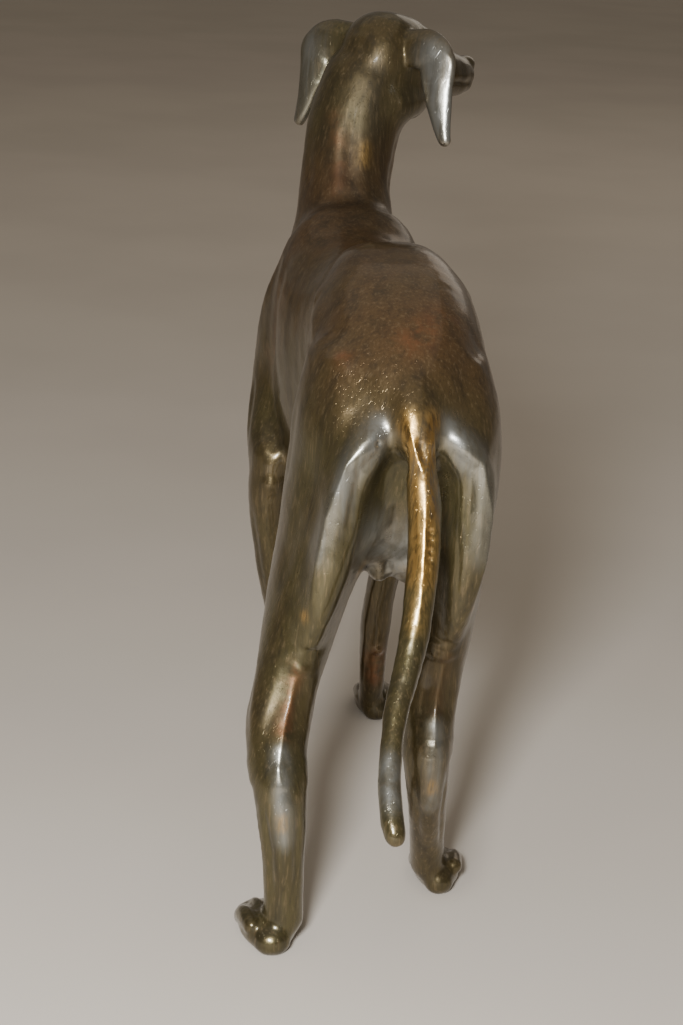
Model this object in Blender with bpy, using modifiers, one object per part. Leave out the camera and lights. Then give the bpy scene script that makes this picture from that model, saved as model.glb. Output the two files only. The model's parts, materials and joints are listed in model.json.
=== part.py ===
"""Standing greyhound, a hollow bronze cast in one piece, modelled as one closed solid.

The hound faces +Y with its right side towards +X, and +Z is up. The origin is at the
middle of the underside of its bounding box, so its four paws rest on the plane z = 0.

Each mass of the body (trunk, neck, skull, ears, shoulders, legs, paws, tail) is a loft of
oval sections along a smooth path. The lofts are fused by a voxel remesh, the creases where
they meet are filled, and the surface is thinned to the facets that its shape needs.

Pose, proportions and muscles are shares of the height at the withers, as a sculptor
measures a dog, so one length sets the size of the whole figure.
"""

from math import cos, pi, radians, sin

import bmesh
import bpy
import numpy as np

# Driving dimensions
WITHERS_HEIGHT = 0.290        # metres, from the soles to the top of the shoulder blades
VOXEL = 0.0072                # of the withers height, the grain at which the masses fuse
FACETS = 8600                 # triangles left after thinning
SOLE_CUT = 0.004              # of the withers height, what is cut flat off under the paws

# Sections of a loft
AROUND = 28                   # points round one section
STEPS = 5                     # sections from one station to the next
DOME = (80, 60, 40, 20)       # degrees of latitude of the rings that round off a loft's end
OVAL = 2.0                    # exponent of a plain ellipse
CRANIAL = 2.3                 # exponent of the head's section
BARREL = 2.5                  # exponent of the fuller oval of the trunk

# Stations of the trunk, rump to breast: x, y, top, bottom, half width, share narrower below
TRUNK = (
    (0.003, -0.450, 0.860, 0.830, 0.014, 0.00),
    (0.003, -0.440, 0.888, 0.800, 0.042, 0.00),
    (0.003, -0.408, 0.928, 0.752, 0.082, 0.00),
    (0.005, -0.350, 0.974, 0.706, 0.118, 0.00),
    (0.006, -0.265, 1.016, 0.680, 0.138, 0.00),
    (0.007, -0.170, 1.043, 0.670, 0.140, 0.02),
    (0.007, -0.085, 1.046, 0.650, 0.126, 0.04),
    (0.005, 0.010, 1.015, 0.598, 0.110, 0.07),
    (0.002, 0.110, 0.990, 0.534, 0.118, 0.11),
    (0.000, 0.210, 1.003, 0.489, 0.136, 0.14),
    (-0.001, 0.300, 1.036, 0.485, 0.137, 0.14),
    (-0.001, 0.370, 1.014, 0.508, 0.124, 0.12),
    (-0.002, 0.425, 0.968, 0.552, 0.108, 0.08),
    (-0.003, 0.462, 0.926, 0.594, 0.094, 0.04),
    (-0.003, 0.488, 0.902, 0.632, 0.079, 0.00),
    (-0.003, 0.508, 0.876, 0.668, 0.062, 0.00),
    (-0.003, 0.521, 0.844, 0.702, 0.043, 0.00),
    (-0.003, 0.529, 0.812, 0.730, 0.026, 0.00),
    (-0.003, 0.533, 0.776, 0.764, 0.004, 0.00),
)

# Other masses: x, y, z of the section's middle, half width, half depth
NECK = (
    (-0.002, 0.358, 0.790, 0.094, 0.130),
    (-0.002, 0.392, 0.865, 0.110, 0.134),
    (-0.002, 0.409, 0.935, 0.104, 0.128),
    (-0.002, 0.424, 0.995, 0.090, 0.113),
    (-0.001, 0.442, 1.045, 0.085, 0.098),
    (0.006, 0.458, 1.098, 0.085, 0.092),
    (0.014, 0.471, 1.150, 0.087, 0.092),
    (0.028, 0.481, 1.205, 0.084, 0.091),
    (0.042, 0.488, 1.250, 0.078, 0.083),
    (0.058, 0.492, 1.285, 0.056, 0.060),
)
SHOULDER = (                  # down the blade to the point of the shoulder, back to the elbow
    (0.052, 0.292, 0.988, 0.036, 0.046),
    (0.068, 0.316, 0.935, 0.050, 0.068),
    (0.088, 0.342, 0.862, 0.057, 0.082),
    (0.101, 0.368, 0.785, 0.058, 0.078),
    (0.110, 0.384, 0.716, 0.056, 0.066),
    (0.118, 0.375, 0.660, 0.054, 0.062),
    (0.128, 0.346, 0.606, 0.051, 0.062),
    (0.134, 0.310, 0.562, 0.046, 0.056),
    (0.136, 0.282, 0.528, 0.036, 0.042),
)
HIP_BONE = (
    (0.080, -0.140, 0.958, 0.026, 0.028),
    (0.094, -0.180, 0.946, 0.032, 0.034),
    (0.102, -0.225, 0.918, 0.032, 0.038),
    (0.104, -0.270, 0.880, 0.028, 0.034),
)
GROIN = (
    (-0.006, -0.385, 0.800, 0.040, 0.034),
    (-0.010, -0.372, 0.730, 0.055, 0.040),
    (-0.010, -0.345, 0.660, 0.062, 0.044),
    (-0.008, -0.318, 0.605, 0.050, 0.040),
    (-0.008, -0.305, 0.575, 0.032, 0.028),
)
SCROTUM_HALF = (
    (0.018, -0.322, 0.620, 0.018, 0.022),
    (0.020, -0.325, 0.586, 0.021, 0.026),
    (0.020, -0.322, 0.562, 0.018, 0.022),
)
TAIL = (
    (0.000, -0.385, 0.905, 0.038, 0.030),
    (0.002, -0.432, 0.868, 0.034, 0.030),
    (0.005, -0.458, 0.826, 0.029, 0.027),
    (0.011, -0.475, 0.779, 0.0240, 0.024),
    (0.016, -0.488, 0.736, 0.0260, 0.025),
    (0.017, -0.501, 0.693, 0.0260, 0.025),
    (0.015, -0.516, 0.650, 0.0250, 0.025),
    (0.009, -0.536, 0.597, 0.0240, 0.024),
    (0.001, -0.559, 0.549, 0.0230, 0.023),
    (-0.013, -0.588, 0.502, 0.0215, 0.022),
    (-0.030, -0.622, 0.458, 0.0190, 0.020),
    (-0.041, -0.660, 0.416, 0.0175, 0.019),
    (-0.048, -0.700, 0.379, 0.0175, 0.018),
    (-0.049, -0.727, 0.355, 0.0180, 0.018),
    (-0.048, -0.747, 0.335, 0.0180, 0.018),
    (-0.045, -0.760, 0.320, 0.0165, 0.016),
)

# Foreleg: y, z, half width, half depth, x of the left leg and of the right leg
FORELEG = (
    (0.290, 0.570, 0.041, 0.058, -0.134, 0.124),
    (0.285, 0.490, 0.038, 0.049, -0.140, 0.122),
    (0.291, 0.410, 0.034, 0.041, -0.134, 0.110),
    (0.298, 0.330, 0.031, 0.035, -0.124, 0.094),
    (0.303, 0.262, 0.029, 0.032, -0.110, 0.085),
    (0.306, 0.218, 0.030, 0.034, -0.102, 0.082),
    (0.309, 0.175, 0.028, 0.030, -0.097, 0.081),
    (0.318, 0.120, 0.026, 0.026, -0.093, 0.082),
    (0.330, 0.070, 0.025, 0.027, -0.090, 0.085),
    (0.344, 0.036, 0.027, 0.028, -0.088, 0.088),
)

# Hind leg, hip to heel: z, half width, half depth, and each leg's own x and y at that height
HIND_GIRTH = (
    (0.880, 0.066, 0.110),
    (0.810, 0.076, 0.142),
    (0.740, 0.078, 0.152),
    (0.660, 0.074, 0.155),
    (0.585, 0.066, 0.144),
    (0.520, 0.060, 0.122),
    (0.460, 0.055, 0.093),
    (0.400, 0.050, 0.067),
    (0.350, 0.049, 0.053),
    (0.305, 0.044, 0.049),
    (0.255, 0.039, 0.040),
    (0.175, 0.032, 0.034),
    (0.105, 0.030, 0.031),
    (0.050, 0.031, 0.034),
)
LEFT_HIND_PATH = (
    (-0.080, -0.285),
    (-0.083, -0.295),
    (-0.085, -0.292),
    (-0.099, -0.297),
    (-0.117, -0.311),
    (-0.136, -0.333),
    (-0.153, -0.365),
    (-0.171, -0.403),
    (-0.184, -0.437),
    (-0.187, -0.468),
    (-0.183, -0.502),
    (-0.177, -0.514),
    (-0.174, -0.512),
    (-0.173, -0.510),
)
RIGHT_HIND_PATH = (
    (0.082, -0.285),
    (0.090, -0.290),
    (0.095, -0.280),
    (0.092, -0.285),
    (0.091, -0.292),
    (0.090, -0.308),
    (0.082, -0.330),
    (0.073, -0.352),
    (0.066, -0.372),
    (0.063, -0.392),
    (0.062, -0.409),
    (0.070, -0.390),
    (0.079, -0.362),
    (0.086, -0.342),
)
HIND_LEGS = ((-1, LEFT_HIND_PATH, 1.06), (1, RIGHT_HIND_PATH, 0.95))      # side, path, stoutness
HAMSTRING = (                 # z, out from the leg's path, back from it, half width, half depth
    (0.832, -0.042, 0.133, 0.026, 0.024),
    (0.800, -0.016, 0.142, 0.032, 0.032),
    (0.752, 0.006, 0.142, 0.034, 0.036),
    (0.690, 0.008, 0.143, 0.034, 0.038),
    (0.620, 0.005, 0.137, 0.032, 0.038),
    (0.550, 0.002, 0.120, 0.026, 0.034),
    (0.490, 0.000, 0.086, 0.022, 0.028),
)

# Paw: each of its four toes and the pad, along the paw from the heel
TOE_SPREAD = 0.0245
TOE_RADIUS = 0.0138
TOE = (                       # share of the paw's length, height, share of the toe's radius
    (0.22, 0.040, 1.05),
    (0.50, 0.038, 1.15),
    (0.74, 0.030, 1.10),
    (0.90, 0.017, 0.85),
)
TOE_REACH = (0.78, 1.0, 1.0, 0.78)
TOE_FAN = (0.75, 0.25)        # a toe's way out in shares of the spread: at the heel, added at the claws
PAW_PAD = (                   # share of the paw's length, height, half width, half height
    (0.02, 0.022, 0.030, 0.024),
    (0.25, 0.024, 0.044, 0.028),
    (0.52, 0.022, 0.046, 0.025),
    (0.72, 0.015, 0.034, 0.018),
)

PAWS = (                      # each heel's x and y, degrees turned to the right, length, breadth
    (-0.091, 0.328, -2.0, 0.132, 1.00),
    (0.096, 0.326, 8.0, 0.132, 0.95),
    (-0.191, -0.542, -4.0, 0.132, 1.00),
    (0.105, -0.362, 3.0, 0.116, 0.86),
)

# Head: middle of the skull, how far it turns to the right and tips down
SKULL = (0.064, 0.490, 1.287)
HEAD_TURN = 43.0
HEAD_TIP = 9.0
HEAD = (                      # forward of the skull, height, half width, half height
    (-0.080, -0.004, 0.004, 0.004),
    (-0.075, -0.005, 0.031, 0.034),
    (-0.059, -0.007, 0.054, 0.061),
    (-0.034, -0.009, 0.069, 0.079),
    (0.000, -0.010, 0.077, 0.088),
    (0.045, -0.016, 0.075, 0.092),
    (0.090, -0.019, 0.064, 0.083),
    (0.135, -0.020, 0.050, 0.066),
    (0.180, -0.019, 0.041, 0.053),
    (0.225, -0.017, 0.036, 0.045),
    (0.262, -0.016, 0.032, 0.040),
    (0.288, -0.016, 0.026, 0.032),
)
NOSE = (
    (0.270, 0.010, 0.016, 0.014),
    (0.296, 0.011, 0.018, 0.016),
    (0.309, 0.008, 0.014, 0.013),
)
BROW = ((0.068, 0.046, 0.024), (0.096, 0.044, 0.022), (0.122, 0.034, 0.015))
BROW_HEIGHT = 0.034
EYE = ((0.090, 0.050, 0.017), (0.106, 0.048, 0.015))
EYE_HEIGHT = 0.018
CHEEK = (                     # forward of the skull, out from its middle, height, half size
    (0.112, 0.020, -0.058, 0.027),
    (0.072, 0.032, -0.072, 0.034),
    (0.030, 0.038, -0.080, 0.042),
    (-0.006, 0.036, -0.087, 0.045),
    (-0.036, 0.028, -0.099, 0.040),
)
EAR = (                       # the same places, half width and half thickness
    (-0.004, 0.030, 0.010, 0.034, 0.022),
    (-0.012, 0.074, 0.016, 0.036, 0.020),
    (-0.018, 0.112, 0.014, 0.038, 0.014),
    (-0.021, 0.134, -0.004, 0.039, 0.0115),
    (-0.021, 0.138, -0.036, 0.034, 0.0115),
    (-0.020, 0.144, -0.068, 0.028, 0.0115),
    (-0.018, 0.152, -0.100, 0.021, 0.0110),
    (-0.016, 0.161, -0.128, 0.016, 0.0105),
    (-0.014, 0.167, -0.143, 0.012, 0.0100),
)
EAR_SWING = 0.05              # how far the hanging ears swing to the right, per length they hang

# Surface finish of the fused form
CREASE_PASSES = 60
CREASE_LEVELS = (0.07, 0.12, 1.12, 1.20)      # heights in shares of the withers height, and
CREASE_SOFTNESS = (0.02, 0.50, 0.50, 0.12)    # how far creases fill there: least at toes and head
EVEN_PASSES = 18
EVEN_IN, EVEN_OUT = 0.55, -0.57

BRONZE = (0.10, 0.075, 0.042, 1.0)
BRONZE_ROUGHNESS = 0.3


def smooth_rows(rows, steps):
    """Rows of numbers read off a Catmull-Rom curve through the given rows."""
    knots = np.asarray(rows, float)
    ends = np.vstack([2 * knots[0] - knots[1], knots, 2 * knots[-1] - knots[-2]])
    t = np.linspace(0.0, 1.0, steps, endpoint=False)[:, None]
    spans = []
    for a, b, c, d in zip(ends, ends[1:], ends[2:], ends[3:]):
        curve = 2 * b + (c - a) * t
        curve = curve + (2 * a - 5 * b + 4 * c - d) * t ** 2 + (3 * b - a - 3 * c + d) * t ** 3
        spans.append(curve / 2)
    return np.vstack(spans + [knots[-1:]])


def unit(vectors):
    """Each row of a list of vectors at length one."""
    return vectors / np.linalg.norm(vectors, axis=-1, keepdims=True)


def loft(stations, side=(1.0, 0.0, 0.0), exponent=OVAL, heading=None):
    """A closed tube of oval sections, rounded at both ends.

    A station is x, y, z, half width, half depth and, if given, the share by which the
    section is narrower on its lower side. The width runs along `side`. A section stands
    square to the path, or to `heading` where that is given.
    """
    rows = smooth_rows([tuple(s) + (0.0,) * (6 - len(s)) for s in stations], STEPS)
    middle, wide, deep, taper = rows[:, :3], rows[:, 3], rows[:, 4], rows[:, 5]
    along = unit(np.gradient(middle, axis=0))
    if heading is not None:
        along = np.tile(np.array(heading, float), (len(rows), 1))
    across = np.array(side, float) - along * (along @ np.array(side, float))[:, None]
    across = unit(across)
    front = np.cross(across, along)

    dome = np.radians(DOME)
    shrink = np.concatenate([np.cos(dome), np.ones(len(rows)), np.cos(dome[::-1])])
    push = np.concatenate([-np.sin(dome), np.zeros(len(rows)), np.sin(dome[::-1])])
    pick = np.concatenate([
        np.zeros(len(dome), int), np.arange(len(rows)), np.full(len(dome), len(rows) - 1)
    ])
    reach = np.minimum(wide, deep)[pick]
    middle = middle[pick] + along[pick] * (push * reach)[:, None]

    turn = np.linspace(0.0, 2 * pi, AROUND, endpoint=False)
    c = np.sign(np.cos(turn)) * np.abs(np.cos(turn)) ** (2 / exponent)
    s = np.sign(np.sin(turn)) * np.abs(np.sin(turn)) ** (2 / exponent)
    half_width = (wide[pick] * shrink)[:, None] * (1 + taper[pick][:, None] * s[None, :])
    half_depth = (deep[pick] * shrink)[:, None]
    rings = (
        middle[:, None, :]
        + across[pick][:, None, :] * (half_width * c[None, :])[:, :, None]
        + front[pick][:, None, :] * (half_depth * s[None, :])[:, :, None]
    )
    tips = np.array([
        middle[len(dome)] - along[0] * reach[0],
        middle[-len(dome) - 1] + along[-1] * reach[-1],
    ])
    return skin(rings, tips)


def skin(rings, tips):
    """Points and faces of a closed surface over rings of points and its two end points."""
    count, around = rings.shape[:2]
    points = np.vstack([rings.reshape(-1, 3), tips])
    i, j = np.meshgrid(np.arange(count - 1), np.arange(around), indexing="ij")
    k = (j + 1) % around
    quads = np.stack([i * around + j, i * around + k, (i + 1) * around + k, (i + 1) * around + j], -1)
    faces = quads.reshape(-1, 4).tolist()
    first, last = count * around, count * around + 1
    base = (count - 1) * around
    for a in range(around):
        b = (a + 1) % around
        faces.append([first, b, a])
        faces.append([last, base + a, base + b])
    return points, faces


def mirrored(stations, side):
    """The stations of a mass on the right side, or on the left where side is -1."""
    return [(side * s[0],) + tuple(s[1:]) for s in stations]


def trunk():
    """The barrel of the body, from the rump to the breastbone."""
    stations = []
    for x, y, top, bottom, wide, taper in TRUNK:
        stations.append((x, y, (top + bottom) / 2, wide, (top - bottom) / 2, taper))
    return loft(stations, exponent=BARREL, heading=(0.0, 1.0, 0.0))


def foreleg(side):
    """A foreleg from above the elbow to the heel pad."""
    stations = []
    for y, z, wide, deep, left_x, right_x in FORELEG:
        stations.append((left_x if side < 0 else right_x, y, z, wide, deep))
    return loft(stations)


def hind_leg(path, stoutness):
    """A hind leg from the hip to the heel pad along its own path."""
    stations = []
    for (z, wide, deep), (x, y) in zip(HIND_GIRTH, path):
        stations.append((x, y, z, wide * stoutness, deep))
    return loft(stations)


def hamstring(path, side):
    """The crest down the back of a thigh, from the seat bone to the calf."""
    levels = [z for z, wide, deep in HIND_GIRTH]
    stations = []
    for z, out, back, wide, deep in HAMSTRING:
        x = np.interp(-z, [-level for level in levels], [x for x, y in path])
        y = np.interp(-z, [-level for level in levels], [y for x, y in path])
        stations.append((x + side * out, y - back, z, wide, deep))
    return loft(stations)


def paw(heel_x, heel_y, turned_out, length, breadth):
    """The pad and four arched toes of a paw that starts at its heel."""
    out = radians(turned_out)
    ahead = np.array([sin(out), cos(out)])
    right = np.array([cos(out), -sin(out)])
    heel = np.array([heel_x, heel_y])

    def placed(share, sideways):
        return tuple(heel + ahead * share * length + right * sideways)

    across = (right[0], right[1], 0.0)
    pieces = [loft([placed(s, 0.0) + (z, w * breadth, t) for s, z, w, t in PAW_PAD], side=across)]
    for toe, reach in enumerate(TOE_REACH):
        sideways = (toe - 1.5) * TOE_SPREAD * breadth
        stations = []
        for share, z, girth in TOE:
            fan = sideways * (TOE_FAN[0] + TOE_FAN[1] * share)
            stations.append(placed(share * reach, fan) + (z, TOE_RADIUS * girth, TOE_RADIUS * girth))
        pieces.append(loft(stations, side=across))
    return pieces


def head():
    """Skull, muzzle, nose, brows, eyes, cheeks and the two drop ears, turned and tipped."""
    turn, tip = radians(HEAD_TURN), radians(HEAD_TIP)
    ahead = np.array([sin(turn) * cos(tip), cos(turn) * cos(tip), -sin(tip)])
    right = np.array([cos(turn), -sin(turn), 0.0])
    up = np.cross(right, ahead)
    skull = np.array(SKULL)

    def placed(forward, out, height):
        return tuple(skull + ahead * forward + right * out + up * height)

    pieces = [
        loft([placed(f, 0.0, z) + (w, t) for f, z, w, t in HEAD], side=right, exponent=CRANIAL),
        loft([placed(f, 0.0, z) + (w, t) for f, z, w, t in NOSE], side=right),
    ]
    for side in (-1, 1):
        for bump, height in ((BROW, BROW_HEIGHT), (EYE, EYE_HEIGHT)):
            pieces.append(loft([placed(f, side * o, height) + (r, r) for f, o, r in bump], side=right))
        pieces.append(loft([placed(f, side * o, z) + (r, r) for f, o, z, r in CHEEK], side=right))
        leaf = [placed(f, side * o - EAR_SWING * z, z) + (w, t) for f, o, z, w, t in EAR]
        pieces.append(loft(leaf, side=right * side + up))
    return pieces


def masses():
    """Every loft of the hound, in shares of the withers height."""
    pieces = [trunk(), loft(NECK), loft(GROIN), loft(TAIL)]
    for side in (-1, 1):
        for stations in (SHOULDER, HIP_BONE, SCROTUM_HALF):
            pieces.append(loft(mirrored(stations, side)))
        pieces.append(foreleg(side))
    for side, path, stoutness in HIND_LEGS:
        pieces.append(hind_leg(path, stoutness))
        pieces.append(hamstring(path, side))
    for place in PAWS:
        pieces += paw(*place)
    pieces += head()
    return pieces


def mesh_of(name, points, faces):
    """A new mesh from points and faces, its faces turned outwards."""
    mesh = bpy.data.meshes.new(name)
    mesh.from_pydata([tuple(p) for p in points], [], faces)
    work = bmesh.new()
    work.from_mesh(mesh)
    bmesh.ops.recalc_face_normals(work, faces=work.faces)
    work.to_mesh(mesh)
    work.free()
    return mesh


def applied(thing):
    """The thing with its modifiers made real in a mesh of its own."""
    depsgraph = bpy.context.evaluated_depsgraph_get()
    mesh = bpy.data.meshes.new_from_object(thing.evaluated_get(depsgraph))
    thing.modifiers.clear()
    thing.data = mesh
    return thing


def fill_creases(mesh):
    """Fill the creases between the fused masses, then even out the whole surface.

    In each of the first passes a point moves towards the mean of its neighbours only as
    far as that lifts it outwards, so hollows fill and ridges keep their size. The even
    passes step in and out by turns, which smooths without shrinking.
    """
    points = np.empty(len(mesh.vertices) * 3)
    mesh.vertices.foreach_get("co", points)
    points = points.reshape(-1, 3)
    edges = np.empty(len(mesh.edges) * 2, int)
    mesh.edges.foreach_get("vertices", edges)
    a = np.concatenate([edges[0::2], edges[1::2]])
    b = np.concatenate([edges[1::2], edges[0::2]])
    count = np.bincount(a, minlength=len(points))[:, None]

    def pull(values):
        total = np.stack([np.bincount(a, values[b, axis], len(values)) for axis in range(3)], 1)
        return total / count - values

    def normals():
        mesh.vertices.foreach_set("co", points.ravel())
        mesh.update()
        found = np.empty(len(points) * 3)
        mesh.vertices.foreach_get("normal", found)
        return found.reshape(-1, 3)

    softness = np.interp(points[:, 2] / WITHERS_HEIGHT, CREASE_LEVELS, CREASE_SOFTNESS)[:, None]
    for step in range(CREASE_PASSES):
        outward = normals()
        lift = np.sum(pull(points) * outward, axis=1, keepdims=True)
        points = points + outward * np.maximum(lift, 0.0) * softness
    for step in range(EVEN_PASSES):
        points = points + pull(points) * EVEN_IN
        points = points + pull(points) * EVEN_OUT
    normals()


def cut_soles(mesh, height):
    """Cut the mesh off flat at a height and close the soles."""
    work = bmesh.new()
    work.from_mesh(mesh)
    everything = work.verts[:] + work.edges[:] + work.faces[:]
    cut = bmesh.ops.bisect_plane(
        work, geom=everything, dist=1e-6, plane_co=(0, 0, height), plane_no=(0, 0, 1), clear_inner=True
    )
    rim = [item for item in cut["geom_cut"] if isinstance(item, bmesh.types.BMEdge)]
    bmesh.ops.holes_fill(work, edges=rim)
    bmesh.ops.triangulate(work, faces=work.faces)
    bmesh.ops.dissolve_degenerate(work, dist=1e-5, edges=work.edges)
    bmesh.ops.recalc_face_normals(work, faces=work.faces)
    work.to_mesh(mesh)
    work.free()


def bronze():
    """Dark olive-brown patinated bronze."""
    material = bpy.data.materials.new("patinated bronze")
    material.use_nodes = True
    shader = material.node_tree.nodes["Principled BSDF"]
    shader.inputs["Base Color"].default_value = BRONZE
    shader.inputs["Metallic"].default_value = 1.0
    shader.inputs["Roughness"].default_value = BRONZE_ROUGHNESS
    return material


def greyhound(collection):
    """The whole hound as one solid."""
    points, faces, start = [], [], 0
    for piece_points, piece_faces in masses():
        points.append(piece_points * WITHERS_HEIGHT)
        faces += [[start + i for i in face] for face in piece_faces]
        start += len(piece_points)
    hound = bpy.data.objects.new("greyhound", mesh_of("greyhound", np.vstack(points), faces))
    collection.objects.link(hound)

    fuse = hound.modifiers.new("fuse", "REMESH")
    fuse.mode = "VOXEL"
    fuse.voxel_size = VOXEL * WITHERS_HEIGHT
    applied(hound)
    fill_creases(hound.data)

    thin = hound.modifiers.new("thin", "DECIMATE")
    thin.use_collapse_triangulate = True
    hound.data.calc_loop_triangles()
    thin.ratio = FACETS / len(hound.data.loop_triangles)
    applied(hound)
    cut_soles(hound.data, SOLE_CUT * WITHERS_HEIGHT)

    place = np.empty(len(hound.data.vertices) * 3)
    hound.data.vertices.foreach_get("co", place)
    place = place.reshape(-1, 3)
    low, high = place.min(axis=0), place.max(axis=0)
    place = place - np.array([(low[0] + high[0]) / 2, (low[1] + high[1]) / 2, low[2]])
    hound.data.vertices.foreach_set("co", place.ravel())
    hound.data.update()
    hound.data.materials.append(bronze())
    hound.data.shade_smooth()
    return hound


def main():
    for thing in list(bpy.data.objects):
        bpy.data.objects.remove(thing, do_unlink=True)
    collection = bpy.data.collections.new("greyhound statue")
    bpy.context.scene.collection.children.link(collection)
    greyhound(collection)


main()
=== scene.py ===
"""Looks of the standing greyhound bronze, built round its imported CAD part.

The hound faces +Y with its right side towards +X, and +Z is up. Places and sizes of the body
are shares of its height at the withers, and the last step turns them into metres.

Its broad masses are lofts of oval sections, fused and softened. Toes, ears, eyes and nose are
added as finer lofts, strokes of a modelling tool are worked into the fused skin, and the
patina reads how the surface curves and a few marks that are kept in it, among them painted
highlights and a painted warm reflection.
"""

import json
import logging
from dataclasses import dataclass, field
from enum import Enum
from math import cos, pi, radians, sin

import bmesh
import bpy
import numpy as np
from mathutils import Matrix, Vector

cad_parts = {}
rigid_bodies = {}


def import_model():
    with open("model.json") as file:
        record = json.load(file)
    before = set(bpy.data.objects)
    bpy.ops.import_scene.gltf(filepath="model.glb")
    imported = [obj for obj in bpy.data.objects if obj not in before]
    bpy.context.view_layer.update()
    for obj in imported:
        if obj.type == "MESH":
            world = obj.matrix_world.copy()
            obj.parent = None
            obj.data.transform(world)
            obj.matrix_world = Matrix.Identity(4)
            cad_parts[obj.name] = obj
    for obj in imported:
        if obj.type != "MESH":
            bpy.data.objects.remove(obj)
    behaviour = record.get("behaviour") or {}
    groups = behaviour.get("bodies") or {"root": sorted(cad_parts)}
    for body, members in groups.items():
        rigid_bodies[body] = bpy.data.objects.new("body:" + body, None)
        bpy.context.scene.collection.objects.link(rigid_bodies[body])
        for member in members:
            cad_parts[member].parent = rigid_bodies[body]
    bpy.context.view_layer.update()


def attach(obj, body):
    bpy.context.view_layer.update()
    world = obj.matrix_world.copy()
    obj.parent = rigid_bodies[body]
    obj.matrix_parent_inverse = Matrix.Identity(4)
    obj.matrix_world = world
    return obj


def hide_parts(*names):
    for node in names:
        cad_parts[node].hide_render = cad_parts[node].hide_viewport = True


log = logging.getLogger("greyhound")

Point = tuple[float, ...]
Rows = tuple[Point, ...]

WITHERS = 0.290
BOX_MIDDLE = (0.0203718, -0.0241953, 0.004)

REACH = 3.0                    # radii from a stroke's line within which points are looked at
RUN_OUT = (2.0, 2.9)           # radii between which a stroke runs out
FACING = (-0.35, 0.25)         # cosines between which a point starts to face a stroke
CREST_FALL = 1.6               # how steeply a crest falls off
EVEN_STEPS = (0.55, -0.57)     # steps in and out that even a surface out
BEND_SPREAD = 0.8              # how far each pass spreads the bend over the neighbours
RIPPLE_WAYS = (                # the ways that each pair of the ripple's waves runs
    ((0.81, 0.47, 0.35), (-0.30, 0.62, 0.72)),
    ((-0.52, 0.28, 0.81), (0.77, 0.55, -0.32)),
    ((0.26, -0.83, 0.49), (0.58, 0.21, 0.79)),
)


class Side(Enum):
    """A side of the hound, as the sign of its x."""

    LEFT = -1
    RIGHT = 1


class Relief(Enum):
    """The cross-section that a stroke gives the surface."""

    ROUND = "round"
    CREST = "crest"


class Mark(Enum):
    """What is kept at each point of the skin for the patina to read."""

    WORN = "worn"
    HOLLOW = "hollow"
    # bare brass, and along the left of the neck a painted warm reflection
    GOLD = "gold"
    RUST = "rust"
    # painted highlight: pale grey laid where the key light's reflection falls on the bronze
    SILVER = "silver"
    DULL = "dull"


def smooth_rows(rows: Rows, steps: int) -> np.ndarray:
    """Rows of numbers read off a Catmull-Rom curve through the given rows.

    Between rows b and c, with neighbours a and d, the curve is half of
    2b + (c - a)t + (2a - 5b + 4c - d)t^2 + (3b - a - 3c + d)t^3.

    Args:
        rows: the rows that the curve passes through.
        steps: how many rows to read from one given row to the next.

    Returns:
        The rows read, the last given row among them.
    """
    knots = np.asarray(rows, float)
    ends = np.vstack([2 * knots[0] - knots[1], knots, 2 * knots[-1] - knots[-2]])
    t = np.linspace(0.0, 1.0, steps, endpoint=False)[:, None]
    spans = []
    for a, b, c, d in zip(ends, ends[1:], ends[2:], ends[3:]):
        curve = 2 * b + (c - a) * t
        curve = curve + (2 * a - 5 * b + 4 * c - d) * t**2 + (3 * b - a - 3 * c + d) * t**3
        spans.append(curve / 2)
    return np.vstack(spans + [knots[-1:]])


def unit(vectors: np.ndarray) -> np.ndarray:
    """Vectors at length one, along the last axis."""
    return vectors / np.maximum(np.linalg.norm(vectors, axis=-1, keepdims=True), 1e-12)


def ramp(values: np.ndarray, low: float, high: float) -> np.ndarray:
    """Values eased from 0 at low to 1 at high by 3t^2 - 2t^3."""
    t = np.clip((values - low) / (high - low), 0.0, 1.0)
    return t * t * (3 - 2 * t)


@dataclass(frozen=True)
class Surface:
    """Points and faces of a closed surface."""

    points: np.ndarray
    faces: list


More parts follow.
